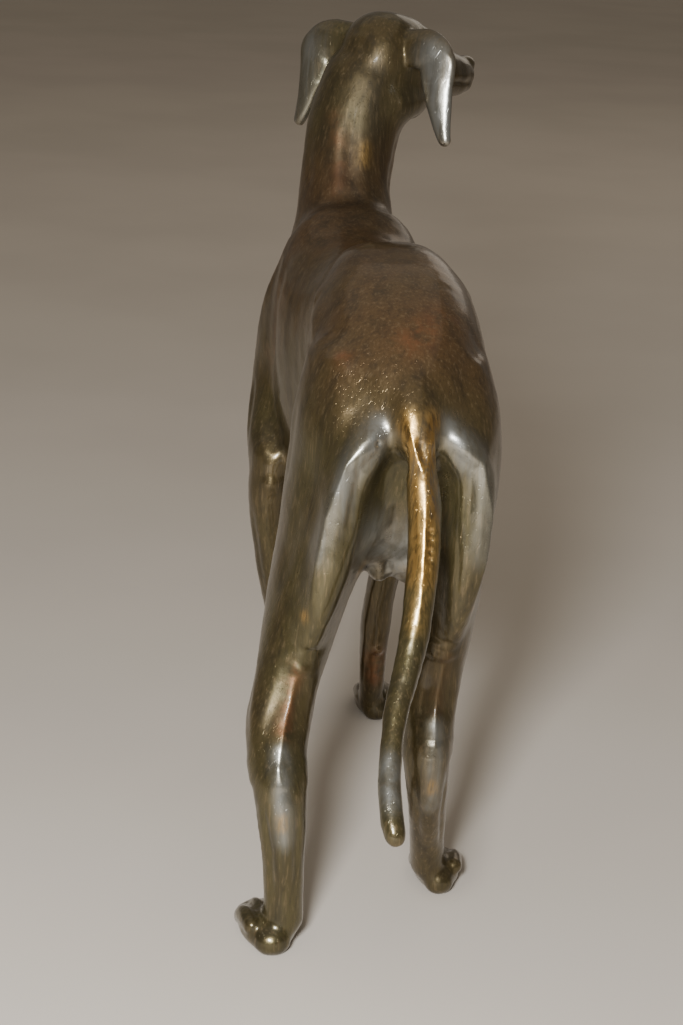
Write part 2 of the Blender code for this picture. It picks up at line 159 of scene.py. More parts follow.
@dataclass(frozen=True)
class Loft:
    """A closed tube of oval sections along a smooth path, rounded at both ends.

    A station is x, y, z, half width and half depth, and if given the share by which the
    section is narrower below and the share of its width by which it curls.
    """

    stations: Rows
    side: Point = (1.0, 0.0, 0.0)
    exponent: float = 2.0
    heading: Point | None = None
    around: int = 40
    steps: int = 7
    dome: Point = (80, 60, 40, 20)

    def surface(self) -> Surface:
        """The tube as rings of points, closed by a tip at each end.

        A ring's point at the angle u is middle + across * w * c + front * (h * s + curl * w * c^2),
        where c and s are the cosine and sine of u, each raised to 2 / exponent with its sign kept.
        Rings of the two end domes shrink as the cosine and step out as the sine of a latitude.
        """
        rows = smooth_rows(tuple(tuple(s) + (0.0,) * (7 - len(s)) for s in self.stations), self.steps)
        middle, wide, deep, taper, curl = rows[:, :3], rows[:, 3], rows[:, 4], rows[:, 5], rows[:, 6]
        along = unit(np.gradient(middle, axis=0))
        if self.heading is not None:
            along = np.tile(np.array(self.heading, float), (len(rows), 1))
        side = np.array(self.side, float)
        across = unit(side - along * (along @ side)[:, None])
        front = np.cross(across, along)

        dome = np.radians(self.dome)
        shrink = np.concatenate([np.cos(dome), np.ones(len(rows)), np.cos(dome[::-1])])
        push = np.concatenate([-np.sin(dome), np.zeros(len(rows)), np.sin(dome[::-1])])
        last = len(rows) - 1
        pick = np.concatenate([np.zeros(len(dome), int), np.arange(len(rows)), np.full(len(dome), last)])
        reach = np.minimum(wide, deep)[pick]
        middle = middle[pick] + along[pick] * (push * reach)[:, None]

        turn = np.linspace(0.0, 2 * pi, self.around, endpoint=False)
        c = np.sign(np.cos(turn)) * np.abs(np.cos(turn)) ** (2 / self.exponent)
        s = np.sign(np.sin(turn)) * np.abs(np.sin(turn)) ** (2 / self.exponent)
        width = (wide[pick] * shrink)[:, None] * (1 + taper[pick][:, None] * s[None, :])
        depth = (deep[pick] * shrink)[:, None] * s[None, :]
        depth = depth + (curl[pick] * wide[pick])[:, None] * (c * np.abs(c))[None, :] * np.sign(c)[None, :]
        rings = (middle[:, None] + across[pick][:, None] * (width * c)[..., None]
                 + front[pick][:, None] * depth[..., None])
        tips = np.array([middle[len(dome)] - along[0] * reach[0],
                         middle[-len(dome) - 1] + along[-1] * reach[-1]])
        return skin_over(rings, tips)


def skin_over(rings: np.ndarray, tips: np.ndarray) -> Surface:
    """A closed surface over rings of points and its two end points.

    Args:
        rings: points, as ring by point by coordinate.
        tips: the first and the last point of the surface.

    Returns:
        Quads between neighbouring rings and a fan of triangles at each tip.
    """
    count, around = rings.shape[:2]
    i, j = np.meshgrid(np.arange(count - 1), np.arange(around), indexing="ij")
    k = (j + 1) % around
    quads = np.stack([i * around + j, i * around + k, (i + 1) * around + k, (i + 1) * around + j], -1)
    a, base, first = np.arange(around), (count - 1) * around, count * around
    b = (a + 1) % around
    fans = np.vstack([
        np.stack([np.full(around, first), b, a], -1),
        np.stack([np.full(around, first + 1), base + a, base + b], -1),
    ])
    return Surface(np.vstack([rings.reshape(-1, 3), tips]), quads.reshape(-1, 4).tolist() + fans.tolist())


@dataclass(frozen=True)
class Stroke:
    """A stroke of the modelling tool along a line near the surface: a ridge, or a groove if below 0."""

    line: Rows
    radius: float
    height: float
    relief: Relief = Relief.ROUND
    fade: float = 0.3


@dataclass(frozen=True)
class Stain:
    """A place where the patina differs, or where a highlight or a reflection is painted, along a line near the
    surface.
    """

    mark: Mark
    line: Rows
    radius: float
    strength: float = 1.0


class Form:
    """A part of the body. What a part doesn't have is an empty list."""

    def broad(self) -> list[Loft]:
        """Its large masses."""
        return []

    def fine(self) -> list[Loft]:
        """Its small masses, added after the large ones are fused."""
        return []

    def strokes(self) -> list[Stroke]:
        """The relief on it."""
        return []

    def stains(self) -> list[Stain]:
        """The marks that its patina reads."""
        return []


def flipped(rows: Rows, side: Side) -> Rows:
    """Rows given for the right side, on the side asked for."""
    return tuple((side.value * r[0],) + tuple(r[1:]) for r in rows)


def on_both_sides(line: Rows, radius: float, height: float, relief: Relief = Relief.ROUND) -> list[Stroke]:
    """The same stroke on the right and on the left."""
    return [Stroke(flipped(line, side), radius, height, relief) for side in Side]


@dataclass(frozen=True)
class Trunk(Form):
    """The barrel of the body with its rump, hips and breast."""

    sections: Rows = (
        (0.003, -0.450, 0.860, 0.830, 0.014, 0.00),
        (0.003, -0.440, 0.888, 0.800, 0.042, 0.00),
        (0.003, -0.408, 0.928, 0.752, 0.082, 0.00),
        (0.005, -0.350, 0.974, 0.706, 0.118, 0.00),
        (0.006, -0.265, 1.016, 0.680, 0.138, 0.00),
        (0.007, -0.170, 1.043, 0.670, 0.140, 0.02),
        (0.007, -0.085, 1.046, 0.650, 0.126, 0.04),
        (0.005, 0.010, 1.015, 0.598, 0.110, 0.07),
        (0.002, 0.110, 0.990, 0.534, 0.118, 0.11),
        (0.000, 0.210, 1.003, 0.489, 0.136, 0.14),
        (-0.001, 0.300, 1.036, 0.485, 0.137, 0.14),
        (-0.001, 0.370, 1.014, 0.508, 0.124, 0.12),
        (-0.002, 0.425, 0.968, 0.552, 0.108, 0.08),
        (-0.003, 0.462, 0.926, 0.594, 0.094, 0.04),
        (-0.003, 0.488, 0.902, 0.632, 0.079, 0.00),
        (-0.003, 0.508, 0.876, 0.668, 0.062, 0.00),
        (-0.003, 0.521, 0.844, 0.702, 0.043, 0.00),
        (-0.003, 0.529, 0.812, 0.730, 0.026, 0.00),
        (-0.003, 0.533, 0.776, 0.764, 0.004, 0.00),
    )
    hip_bone: Rows = (
        (0.080, -0.140, 0.958, 0.026, 0.028),
        (0.094, -0.180, 0.946, 0.032, 0.034),
        (0.102, -0.225, 0.918, 0.032, 0.038),
        (0.104, -0.270, 0.880, 0.028, 0.034),
    )
    groin: Rows = (
        (-0.006, -0.385, 0.800, 0.040, 0.034),
        (-0.010, -0.372, 0.730, 0.055, 0.040),
        (-0.010, -0.345, 0.660, 0.062, 0.044),
        (-0.008, -0.318, 0.605, 0.050, 0.040),
        (-0.008, -0.305, 0.575, 0.032, 0.028),
    )
    scrotum: Rows = (
        (0.018, -0.322, 0.620, 0.018, 0.022),
        (0.020, -0.325, 0.586, 0.021, 0.026),
        (0.020, -0.322, 0.562, 0.018, 0.022),
    )
    exponent: float = 2.5
    ribs: int = 6
    first_rib: float = 0.19
    rib_gap: float = 0.046

    def broad(self) -> list[Loft]:
        """The barrel, its sections kept upright, the groin and the bones of the hips."""
        barrel = tuple((x, y, (top + low) / 2, w, (top - low) / 2, t)
                       for x, y, top, low, w, t in self.sections)
        lofts = [Loft(barrel, exponent=self.exponent, heading=(0.0, 1.0, 0.0)), Loft(self.groin)]
        for side in Side:
            lofts += [Loft(flipped(self.hip_bone, side)), Loft(flipped(self.scrotum, side))]
        return lofts

    def strokes(self) -> list[Stroke]:
        """Back muscles, ribs, the line of the belly, and the dents in front of the hips."""
        marks = [
            Stroke(((0.002, 0.27, 1.04), (0.006, 0.0, 1.04), (0.007, -0.22, 1.03)), 0.016, -0.0022),
            Stroke(((-0.003, 0.545, 0.84), (-0.003, 0.545, 0.76), (-0.003, 0.52, 0.68),
                    (-0.003, 0.46, 0.58)), 0.020, 0.0030),
            Stroke(((0.0, 0.30, 0.485), (0.0, 0.10, 0.53), (0.0, -0.05, 0.62),
                    (0.0, -0.18, 0.67)), 0.012, -0.0025),
            Stroke(((-0.010, -0.345, 0.600), (-0.008, -0.345, 0.560)), 0.007, -0.0050),
            Stroke(((-0.010, -0.415, 0.700), (-0.010, -0.400, 0.650)), 0.010, -0.0030),
        ]
        marks += on_both_sides(((0.050, 0.20, 1.02), (0.056, 0.0, 1.03), (0.060, -0.16, 1.03),
                                (0.050, -0.30, 0.99)), 0.030, 0.0035)
        marks += on_both_sides(((0.100, 0.14, 0.98), (0.104, -0.02, 0.99),
                                (0.104, -0.12, 0.985)), 0.022, -0.0030)
        marks += on_both_sides(((0.120, -0.06, 0.93), (0.128, -0.08, 0.84),
                                (0.110, -0.10, 0.76)), 0.045, -0.0035)
        marks += on_both_sides(((0.115, 0.16, 0.60), (0.100, 0.04, 0.64),
                                (0.085, -0.06, 0.70)), 0.018, -0.0030)
        marks += on_both_sides(((0.085, -0.135, 0.965), (0.100, -0.170, 0.950)), 0.020, 0.0035)
        marks += on_both_sides(((0.105, -0.290, 0.930), (0.085, -0.350, 0.900)), 0.026, -0.0040)
        for rib in range(self.ribs):
            y = self.first_rib - self.rib_gap * rib
            line = ((0.12, y, 0.95), (0.135, y - 0.012, 0.84), (0.135, y - 0.045, 0.72 + 0.014 * rib))
            marks += on_both_sides(line, 0.013, 0.0005)
        return marks

    def stains(self) -> list[Stain]:
        """Warm patches on the rump and the flank, and painted highlights in pale grey on the groin and the
        right buttock.
        """
        return [
            Stain(Mark.RUST, ((0.022, -0.371, 0.980), (0.004, -0.392, 0.965)), 0.026, 0.5),
            Stain(Mark.RUST, ((0.045, -0.350, 0.991), (0.060, -0.330, 0.985)), 0.024, 0.35),
            Stain(Mark.RUST, ((-0.101, -0.370, 0.927),), 0.014, 0.5),
            Stain(Mark.RUST, ((-0.118, 0.237, 0.872), (-0.121, 0.294, 0.746)), 0.040, 0.2),
            Stain(Mark.RUST, ((0.100, 0.05, 0.95), (0.120, -0.02, 0.86)), 0.040, 0.4),
            # painted highlights: pale grey where the key light shines off the groin and the right buttock
            Stain(Mark.SILVER, ((-0.034, -0.413, 0.630), (-0.010, -0.386, 0.612),
                                (0.02, -0.36, 0.60)), 0.050, 1.0),
            Stain(Mark.SILVER, ((0.041, -0.505, 0.835), (0.046, -0.517, 0.790),
                                (0.052, -0.517, 0.740)), 0.026, 0.8),
            Stain(Mark.GOLD, ((-0.030, -0.400, 0.575), (0.020, -0.370, 0.560)), 0.014, 0.6),
        ]


@dataclass(frozen=True)
class Neck(Form):
    """The upright neck, from inside the breast to the skull."""

    sections: Rows = (
        (-0.002, 0.358, 0.790, 0.094, 0.130),
        (-0.002, 0.392, 0.865, 0.110, 0.134),
        (-0.002, 0.409, 0.935, 0.104, 0.128),
        (-0.002, 0.424, 0.995, 0.090, 0.113),
        (-0.001, 0.442, 1.045, 0.085, 0.098),
        (0.006, 0.458, 1.098, 0.085, 0.092),
        (0.014, 0.471, 1.150, 0.087, 0.092),
        (0.028, 0.481, 1.205, 0.084, 0.091),
        (0.042, 0.488, 1.250, 0.078, 0.083),
        (0.058, 0.492, 1.285, 0.056, 0.060),
    )

    def broad(self) -> list[Loft]:
        """The neck as one loft."""
        return [Loft(self.sections)]

    def strokes(self) -> list[Stroke]:
        """The nape with a column on each side, the long muscles, the windpipe and the throat."""
        return [
            Stroke(((-0.004, 0.315, 1.050), (-0.005, 0.353, 1.127), (-0.002, 0.371, 1.182),
                    (0.012, 0.385, 1.24)), 0.012, -0.0026),
            Stroke(((-0.034, 0.332, 1.050), (-0.032, 0.370, 1.124), (-0.028, 0.397, 1.183)), 0.015, 0.0030),
            Stroke(((0.028, 0.311, 1.050), (0.030, 0.339, 1.112), (0.034, 0.354, 1.164)), 0.015, 0.0028),
            Stroke(((-0.062, 0.387, 1.040), (-0.060, 0.423, 1.096),
                    (-0.056, 0.450, 1.139)), 0.013, -0.0030),
            Stroke(((0.075, 0.400, 1.030), (0.085, 0.430, 1.110), (0.100, 0.450, 1.180)), 0.014, -0.0030),
            Stroke(((-0.060, 0.500, 1.200), (-0.075, 0.520, 1.080), (-0.060, 0.540, 0.950),
                    (-0.030, 0.550, 0.860)), 0.016, 0.0040),
            Stroke(((0.110, 0.470, 1.190), (0.085, 0.500, 1.080), (0.060, 0.535, 0.950),
                    (0.030, 0.550, 0.860)), 0.016, 0.0040),
            Stroke(((-0.030, 0.555, 1.180), (-0.042, 0.555, 1.060),
                    (-0.030, 0.555, 0.940)), 0.011, -0.0036),
            Stroke(((0.060, 0.550, 1.180), (0.042, 0.555, 1.060), (0.030, 0.555, 0.940)), 0.011, -0.0036),
            Stroke(((0.020, 0.570, 1.180), (0.002, 0.555, 1.060), (0.0, 0.545, 0.960)), 0.018, 0.0030),
        ]

    def stains(self) -> list[Stain]:
        """A worn patch on the right of the nape, a warm column on its left, a dull nape, and a painted warm
        reflection along the left of the neck under the ear.
        """
        return [
            Stain(Mark.GOLD, ((0.029, 0.340, 1.115), (0.033, 0.345, 1.135)), 0.012, 0.30),
            Stain(Mark.RUST, ((-0.031, 0.397, 1.183), (-0.030, 0.370, 1.124),
                              (-0.030, 0.332, 1.060)), 0.016, 0.25),
            Stain(Mark.DULL, ((0.030, 0.400, 1.230), (0.000, 0.370, 1.150), (-0.005, 0.330, 1.070),
                              (0.0, 0.26, 1.03)), 0.080, 1.0),
            # painted warm reflection: a thin brass line along the left edge of the neck under the ear
            Stain(Mark.GOLD, ((-0.020, 0.517, 1.266), (-0.037, 0.523, 1.222),
                              (-0.056, 0.535, 1.173)), 0.008, 0.55),
        ]


@dataclass(frozen=True)
class Shoulder(Form):
    """A shoulder, down the blade to its point and back to the elbow."""

    side: Side
    sections: Rows = (
        (0.052, 0.292, 0.988, 0.036, 0.046),
        (0.068, 0.316, 0.935, 0.050, 0.068),
        (0.088, 0.342, 0.862, 0.057, 0.082),
        (0.101, 0.368, 0.785, 0.058, 0.078),
        (0.110, 0.384, 0.716, 0.056, 0.066),
        (0.118, 0.375, 0.660, 0.054, 0.062),
        (0.128, 0.346, 0.606, 0.051, 0.062),
        (0.134, 0.310, 0.562, 0.046, 0.056),
        (0.136, 0.282, 0.528, 0.036, 0.042),
    )

    def broad(self) -> list[Loft]:
        """The shoulder as one loft."""
        return [Loft(flipped(self.sections, self.side))]

    def strokes(self) -> list[Stroke]:
        """The spine of the blade, its rear edge, the muscle behind the arm and the elbow."""
        lines = (
            (((0.075, 0.290, 1.000), (0.120, 0.350, 0.870), (0.150, 0.395, 0.740)), 0.014, 0.0042),
            (((0.105, 0.250, 0.960), (0.140, 0.265, 0.850), (0.152, 0.290, 0.720)), 0.018, -0.0050),
            (((0.100, 0.335, 0.940), (0.140, 0.385, 0.830)), 0.014, -0.0030),
            (((0.155, 0.330, 0.740), (0.165, 0.300, 0.650), (0.165, 0.275, 0.570)), 0.020, 0.0040),
            (((0.160, 0.375, 0.700), (0.170, 0.335, 0.610), (0.165, 0.315, 0.550)), 0.012, -0.0040),
            (((0.140, 0.440, 0.730), (0.150, 0.425, 0.680)), 0.022, 0.0045),
            (((0.160, 0.248, 0.640), (0.150, 0.232, 0.560)), 0.014, -0.0045),
            (((0.140, 0.235, 0.520),), 0.015, 0.0050),
        )
        return [Stroke(flipped(line, self.side), radius, height) for line, radius, height in lines]


@dataclass(frozen=True)
class Limb(Form):
    """A leg as sections at given heights, with a way to name places on it."""

    side: Side
    heights: Point
    wide: Point
    deep: Point
    path: Rows

    def broad(self) -> list[Loft]:
        """The leg as one loft."""
        rows = zip(self.path, self.heights, self.wide, self.deep)
        return [Loft(tuple((x, y, z, w, d) for (x, y), z, w, d in rows))]

    def at(self, z: float, out: float, back: float) -> Point:
        """The place at a height, so far outwards from the leg's middle and so far back from it."""
        levels = [-h for h in self.heights]
        x = float(np.interp(-z, levels, [p[0] for p in self.path]))
        y = float(np.interp(-z, levels, [p[1] for p in self.path]))
        return (x + self.side.value * out, y - back, z)

    def line(self, *places: Point) -> Rows:
        """Several such places as one line."""
        return tuple(self.at(*place) for place in places)


FORELEG_HEIGHTS = (0.570, 0.490, 0.410, 0.330, 0.262, 0.218, 0.175, 0.120, 0.070, 0.036)
FORELEG_WIDE = (0.041, 0.038, 0.034, 0.031, 0.029, 0.030, 0.028, 0.026, 0.025, 0.027)
FORELEG_DEEP = (0.058, 0.049, 0.041, 0.035, 0.032, 0.034, 0.030, 0.026, 0.027, 0.028)
FORELEG_Y = (0.290, 0.285, 0.291, 0.298, 0.303, 0.306, 0.309, 0.318, 0.330, 0.344)
FORELEG_X = {
    Side.LEFT: (-0.134, -0.140, -0.134, -0.124, -0.110, -0.102, -0.097, -0.093, -0.090, -0.088),
    Side.RIGHT: (0.124, 0.122, 0.110, 0.094, 0.085, 0.082, 0.081, 0.082, 0.085, 0.088),
}


@dataclass(frozen=True)
class Foreleg(Limb):
    """A foreleg from above the elbow to the heel pad."""

    heights: Point = FORELEG_HEIGHTS
    wide: Point = FORELEG_WIDE
    deep: Point = FORELEG_DEEP
    path: Rows = ()

    @classmethod
    def standing(cls, side: Side) -> "Foreleg":
        """The foreleg of one side."""
        return cls(side=side, path=tuple(zip(FORELEG_X[side], FORELEG_Y)))

    def strokes(self) -> list[Stroke]:
        """Forearm muscles, the wrist and its pad, and the tendons behind."""
        marks = [
            Stroke(self.line((0.50, 0.030, -0.030), (0.40, 0.028, -0.020),
                             (0.30, 0.022, -0.012)), 0.010, -0.0030),
            Stroke(self.line((0.48, 0.030, 0.022), (0.38, 0.028, 0.020),
                             (0.27, 0.022, 0.016)), 0.009, -0.0030),
            Stroke(self.line((0.48, -0.034, 0.010), (0.36, -0.030, 0.008),
                             (0.27, -0.024, 0.006)), 0.010, -0.0025),
            Stroke(self.line((0.225, 0.0, -0.034), (0.205, 0.0, -0.034)), 0.017, 0.0030),
            Stroke(self.line((0.168, 0.004, 0.034)), 0.010, 0.0070),
            Stroke(self.line((0.140, 0.012, 0.024), (0.080, 0.012, 0.024)), 0.006, -0.0024),
            Stroke(self.line((0.140, -0.012, 0.024), (0.080, -0.012, 0.024)), 0.006, -0.0024),
            Stroke(self.line((0.180, 0.0, -0.030), (0.080, 0.0, -0.028)), 0.008, 0.0020),
        ]
        return marks

    def stains(self) -> list[Stain]:
        """A warm patch low on the leg."""
        return [Stain(Mark.RUST, self.line((0.150, 0.0, 0.03), (0.110, 0.0, 0.03)), 0.022, 0.6)]


HIND_HEIGHTS = (0.880, 0.810, 0.740, 0.660, 0.585, 0.520, 0.460, 0.400, 0.350, 0.305, 0.255, 0.175, 0.105,
                0.050)
HIND_WIDE = (0.066, 0.076, 0.078, 0.074, 0.066, 0.060, 0.055, 0.050, 0.049, 0.044, 0.039, 0.032, 0.030,
             0.031)
HIND_DEEP = (0.110, 0.142, 0.152, 0.155, 0.144, 0.122, 0.093, 0.067, 0.053, 0.049, 0.040, 0.034, 0.031,
             0.034)
HIND_PATH = {
    Side.LEFT: (
        (-0.080, -0.285), (-0.083, -0.295), (-0.085, -0.292), (-0.099, -0.297), (-0.117, -0.311),
        (-0.136, -0.333), (-0.153, -0.365), (-0.171, -0.403), (-0.184, -0.437), (-0.187, -0.468),
        (-0.183, -0.502), (-0.177, -0.514), (-0.174, -0.512), (-0.173, -0.510),
    ),
    Side.RIGHT: (
        (0.082, -0.285), (0.090, -0.290), (0.095, -0.280), (0.092, -0.285), (0.091, -0.292),
        (0.090, -0.308), (0.082, -0.330), (0.073, -0.352), (0.066, -0.372), (0.063, -0.392),
        (0.062, -0.409), (0.070, -0.390), (0.079, -0.362), (0.086, -0.342),
    ),
}
HIND_STOUTNESS = {Side.LEFT: 1.06, Side.RIGHT: 0.95}


@dataclass(frozen=True)
class HindLeg(Limb):
    """A hind leg from the hip to the heel pad, with the crest down the back of its thigh."""

    heights: Point = HIND_HEIGHTS
    wide: Point = HIND_WIDE
    deep: Point = HIND_DEEP
    path: Rows = ()
    crest: Rows = (
        (0.832, -0.042, 0.133, 0.026, 0.024),
        (0.800, -0.016, 0.142, 0.032, 0.032),
        (0.752, 0.006, 0.142, 0.034, 0.036),
        (0.690, 0.008, 0.143, 0.034, 0.038),
        (0.620, 0.005, 0.137, 0.032, 0.038),
        (0.550, 0.002, 0.120, 0.026, 0.034),
        (0.490, 0.000, 0.086, 0.022, 0.028),
    )

    @classmethod
    def standing(cls, side: Side) -> "HindLeg":
        """The hind leg of one side, in its own stance."""
        wide = tuple(w * HIND_STOUTNESS[side] for w in HIND_WIDE)
        return cls(side=side, wide=wide, path=HIND_PATH[side])

    def broad(self) -> list[Loft]:
        """The leg and the crest of its thigh."""
        crest = tuple(self.at(z, out, back) + (w, d) for z, out, back, w, d in self.crest)
        return super().broad() + [Loft(crest)]

    def strokes(self) -> list[Stroke]:
        """The crest and its inner edge, thigh and calf, the great tendon, the hock and the metatarsus."""
        lines = (
            (((0.842, -0.026, 0.173), (0.782, 0.014, 0.168), (0.702, 0.026, 0.166), (0.610, 0.024, 0.160),
              (0.540, 0.014, 0.140)), 0.018, 0.0080, Relief.CREST),
            (((0.832, -0.044, 0.190), (0.771, -0.006, 0.183), (0.690, 0.000, 0.176),
              (0.634, -0.002, 0.170)), 0.013, -0.0055, Relief.ROUND),
            (((0.480, -0.006, 0.100), (0.440, -0.004, 0.090)), 0.024, 0.0075, Relief.ROUND),
            (((0.820, 0.055, 0.110), (0.720, 0.070, 0.100), (0.620, 0.066, 0.085),
              (0.540, 0.058, 0.060)), 0.022, -0.0030, Relief.ROUND),
            (((0.860, 0.050, 0.020), (0.760, 0.076, 0.0), (0.650, 0.076, -0.030),
              (0.590, 0.066, -0.050)), 0.020, -0.0035, Relief.ROUND),
            (((0.860, 0.040, -0.080), (0.760, 0.060, -0.120),
              (0.660, 0.060, -0.125)), 0.018, 0.0050, Relief.ROUND),
            (((0.600, 0.030, -0.118), (0.560, 0.028, -0.112)), 0.020, 0.0050, Relief.ROUND),
            (((0.550, 0.024, -0.105), (0.480, 0.018, -0.085),
              (0.390, 0.012, -0.058)), 0.012, 0.0036, Relief.CREST),
            (((0.540, 0.050, -0.040), (0.460, 0.046, -0.014), (0.380, 0.040, 0.004),
              (0.330, 0.036, 0.012)), 0.012, -0.0042, Relief.ROUND),
            (((0.520, -0.046, -0.020), (0.440, -0.044, 0.0),
              (0.360, -0.040, 0.012)), 0.014, -0.0035, Relief.ROUND),
            (((0.483, -0.010, 0.125), (0.452, -0.018, 0.116)), 0.013, -0.0035, Relief.ROUND),
            (((0.470, -0.002, 0.120), (0.412, -0.003, 0.104), (0.371, 0.0, 0.090), (0.318, 0.004, 0.070),
              (0.250, 0.002, 0.056)), 0.014, 0.0046, Relief.CREST),
            (((0.478, 0.022, 0.110), (0.421, 0.026, 0.090), (0.368, 0.028, 0.066),
              (0.325, 0.030, 0.046)), 0.015, -0.0040, Relief.ROUND),
            (((0.443, -0.026, 0.108), (0.400, -0.028, 0.094),
              (0.350, -0.026, 0.074)), 0.013, -0.0040, Relief.ROUND),
            (((0.320, 0.004, 0.062), (0.280, 0.004, 0.058)), 0.022, 0.0022, Relief.ROUND),
            (((0.310, 0.042, 0.0), (0.265, 0.038, 0.0)), 0.020, 0.0022, Relief.ROUND),
            (((0.310, -0.042, 0.010), (0.265, -0.038, 0.010)), 0.020, 0.0020, Relief.ROUND),
            (((0.265, 0.026, 0.028), (0.175, 0.024, 0.026),
              (0.095, 0.022, 0.022)), 0.007, -0.0042, Relief.ROUND),
            (((0.262, 0.038, 0.008), (0.175, 0.033, 0.006),
              (0.085, 0.030, 0.004)), 0.006, 0.0024, Relief.CREST),
            (((0.262, -0.020, 0.030), (0.181, -0.017, 0.027),
              (0.110, -0.015, 0.024)), 0.007, -0.0036, Relief.ROUND),
            (((0.261, 0.0, 0.059), (0.196, 0.0, 0.045),
              (0.100, 0.002, 0.036)), 0.010, 0.0030, Relief.CREST),
            (((0.240, 0.010, -0.040), (0.120, 0.008, -0.034)), 0.007, 0.0022, Relief.ROUND),
        )
        return [Stroke(self.line(*places), radius, height, relief)
                for places, radius, height, relief in lines]

    def stains(self) -> list[Stain]:
        """Warm patches on the calf and at the hock, a dull calf, and painted highlights in pale grey down the
        crest and at the hock.
        """
        strength = 0.6 if self.side is Side.LEFT else 0.15
        return [
            Stain(Mark.RUST, self.line((0.445, 0.020, 0.113), (0.378, 0.012, 0.100)), 0.014, strength),
            Stain(Mark.DULL, self.line((0.460, 0.010, 0.113), (0.390, 0.006, 0.100)), 0.035, 0.7),
            Stain(Mark.GOLD, self.line((0.540, 0.030, 0.135),), 0.008, 0.5),
            Stain(Mark.GOLD, self.line((0.240, 0.004, 0.060), (0.225, 0.008, 0.055)), 0.008, 0.4),
            # painted highlights: pale grey down the crest of the thigh and at the hock, where the key light
            # shines off them
            Stain(Mark.SILVER, self.line((0.842, -0.026, 0.173), (0.747, 0.020, 0.168),
                                         (0.640, 0.026, 0.160)), 0.020, 0.8),
            Stain(Mark.SILVER, self.line((0.340, 0.002, 0.080), (0.270, 0.002, 0.062),
                                         (0.200, 0.0, 0.040)), 0.014, 0.6),
        ]


@dataclass(frozen=True)
class Paw(Form):
    """A paw that starts at its heel: a pad and four arched toes with blunt claws."""

    heel: Point
    turned_out: float
    length: float
    breadth: float
    spread: float = 0.0245
    radius: float = 0.0138
    toe: Rows = ((0.22, 0.040, 1.05), (0.50, 0.038, 1.15), (0.74, 0.030, 1.10), (0.90, 0.017, 0.85))
    reach: Point = (0.78, 1.0, 1.0, 0.78)
    fan: Point = (0.75, 0.25)
    pad: Rows = (
        (0.02, 0.022, 0.030, 0.024),
        (0.25, 0.024, 0.044, 0.028),
        (0.52, 0.022, 0.046, 0.025),
        (0.72, 0.015, 0.034, 0.018),
    )
    web: Rows = ((0.30, 0.027, 0.042, 0.022), (0.58, 0.024, 0.047, 0.025), (0.80, 0.019, 0.043, 0.020))
    claw: Rows = ((0.93, 0.020, 0.0070), (1.00, 0.014, 0.0056), (1.05, 0.007, 0.0040))
    cleft: Rows = ((0.34, 0.85, 0.052), (0.66, 0.93, 0.044), (0.88, 1.0, 0.026))

    def placed(self, share: float, sideways: float, z: float) -> Point:
        """A place on the paw, a share of its length ahead of the heel and so far to the right."""
        out = radians(self.turned_out)
        x = self.heel[0] + sin(out) * share * self.length + cos(out) * sideways
        y = self.heel[1] + cos(out) * share * self.length - sin(out) * sideways
        return (x, y, z)

    def across(self) -> Point:
        """The paw's own way to the right."""
        out = radians(self.turned_out)
        return (cos(out), -sin(out), 0.0)

    def broad(self) -> list[Loft]:
        """The pad, which joins the leg."""
        rows = tuple(self.placed(s, 0.0, z) + (w * self.breadth, t) for s, z, w, t in self.pad)
        return [Loft(rows, side=self.across())]

    def fine(self) -> list[Loft]:
        """The toes and their claws, with the web between them."""
        rows = tuple(self.placed(s, 0.0, z) + (w * self.breadth, t) for s, z, w, t in self.web)
        lofts = [Loft(rows, side=self.across())]
        for number, reach in enumerate(self.reach):
            sideways = (number - 1.5) * self.spread * self.breadth
            rows = []
            for share, z, girth in self.toe:
                fan = sideways * (self.fan[0] + self.fan[1] * share)
                rows.append(self.placed(share * reach, fan, z) + (self.radius * girth, self.radius * girth))
            lofts.append(Loft(tuple(rows), side=self.across(), around=24))
            nail = tuple(self.placed(share * reach, sideways, z) + (r, r) for share, z, r in self.claw)
            lofts.append(Loft(nail, side=self.across(), around=16))
        return lofts

    def strokes(self) -> list[Stroke]:
        """The clefts between the toes."""
        gaps = [gap * self.spread * self.breadth for gap in (-1, 0, 1)]
        lines = [tuple(self.placed(share, gap * fan, z) for share, fan, z in self.cleft) for gap in gaps]
        return [Stroke(line, 0.007, -0.0032) for line in lines]


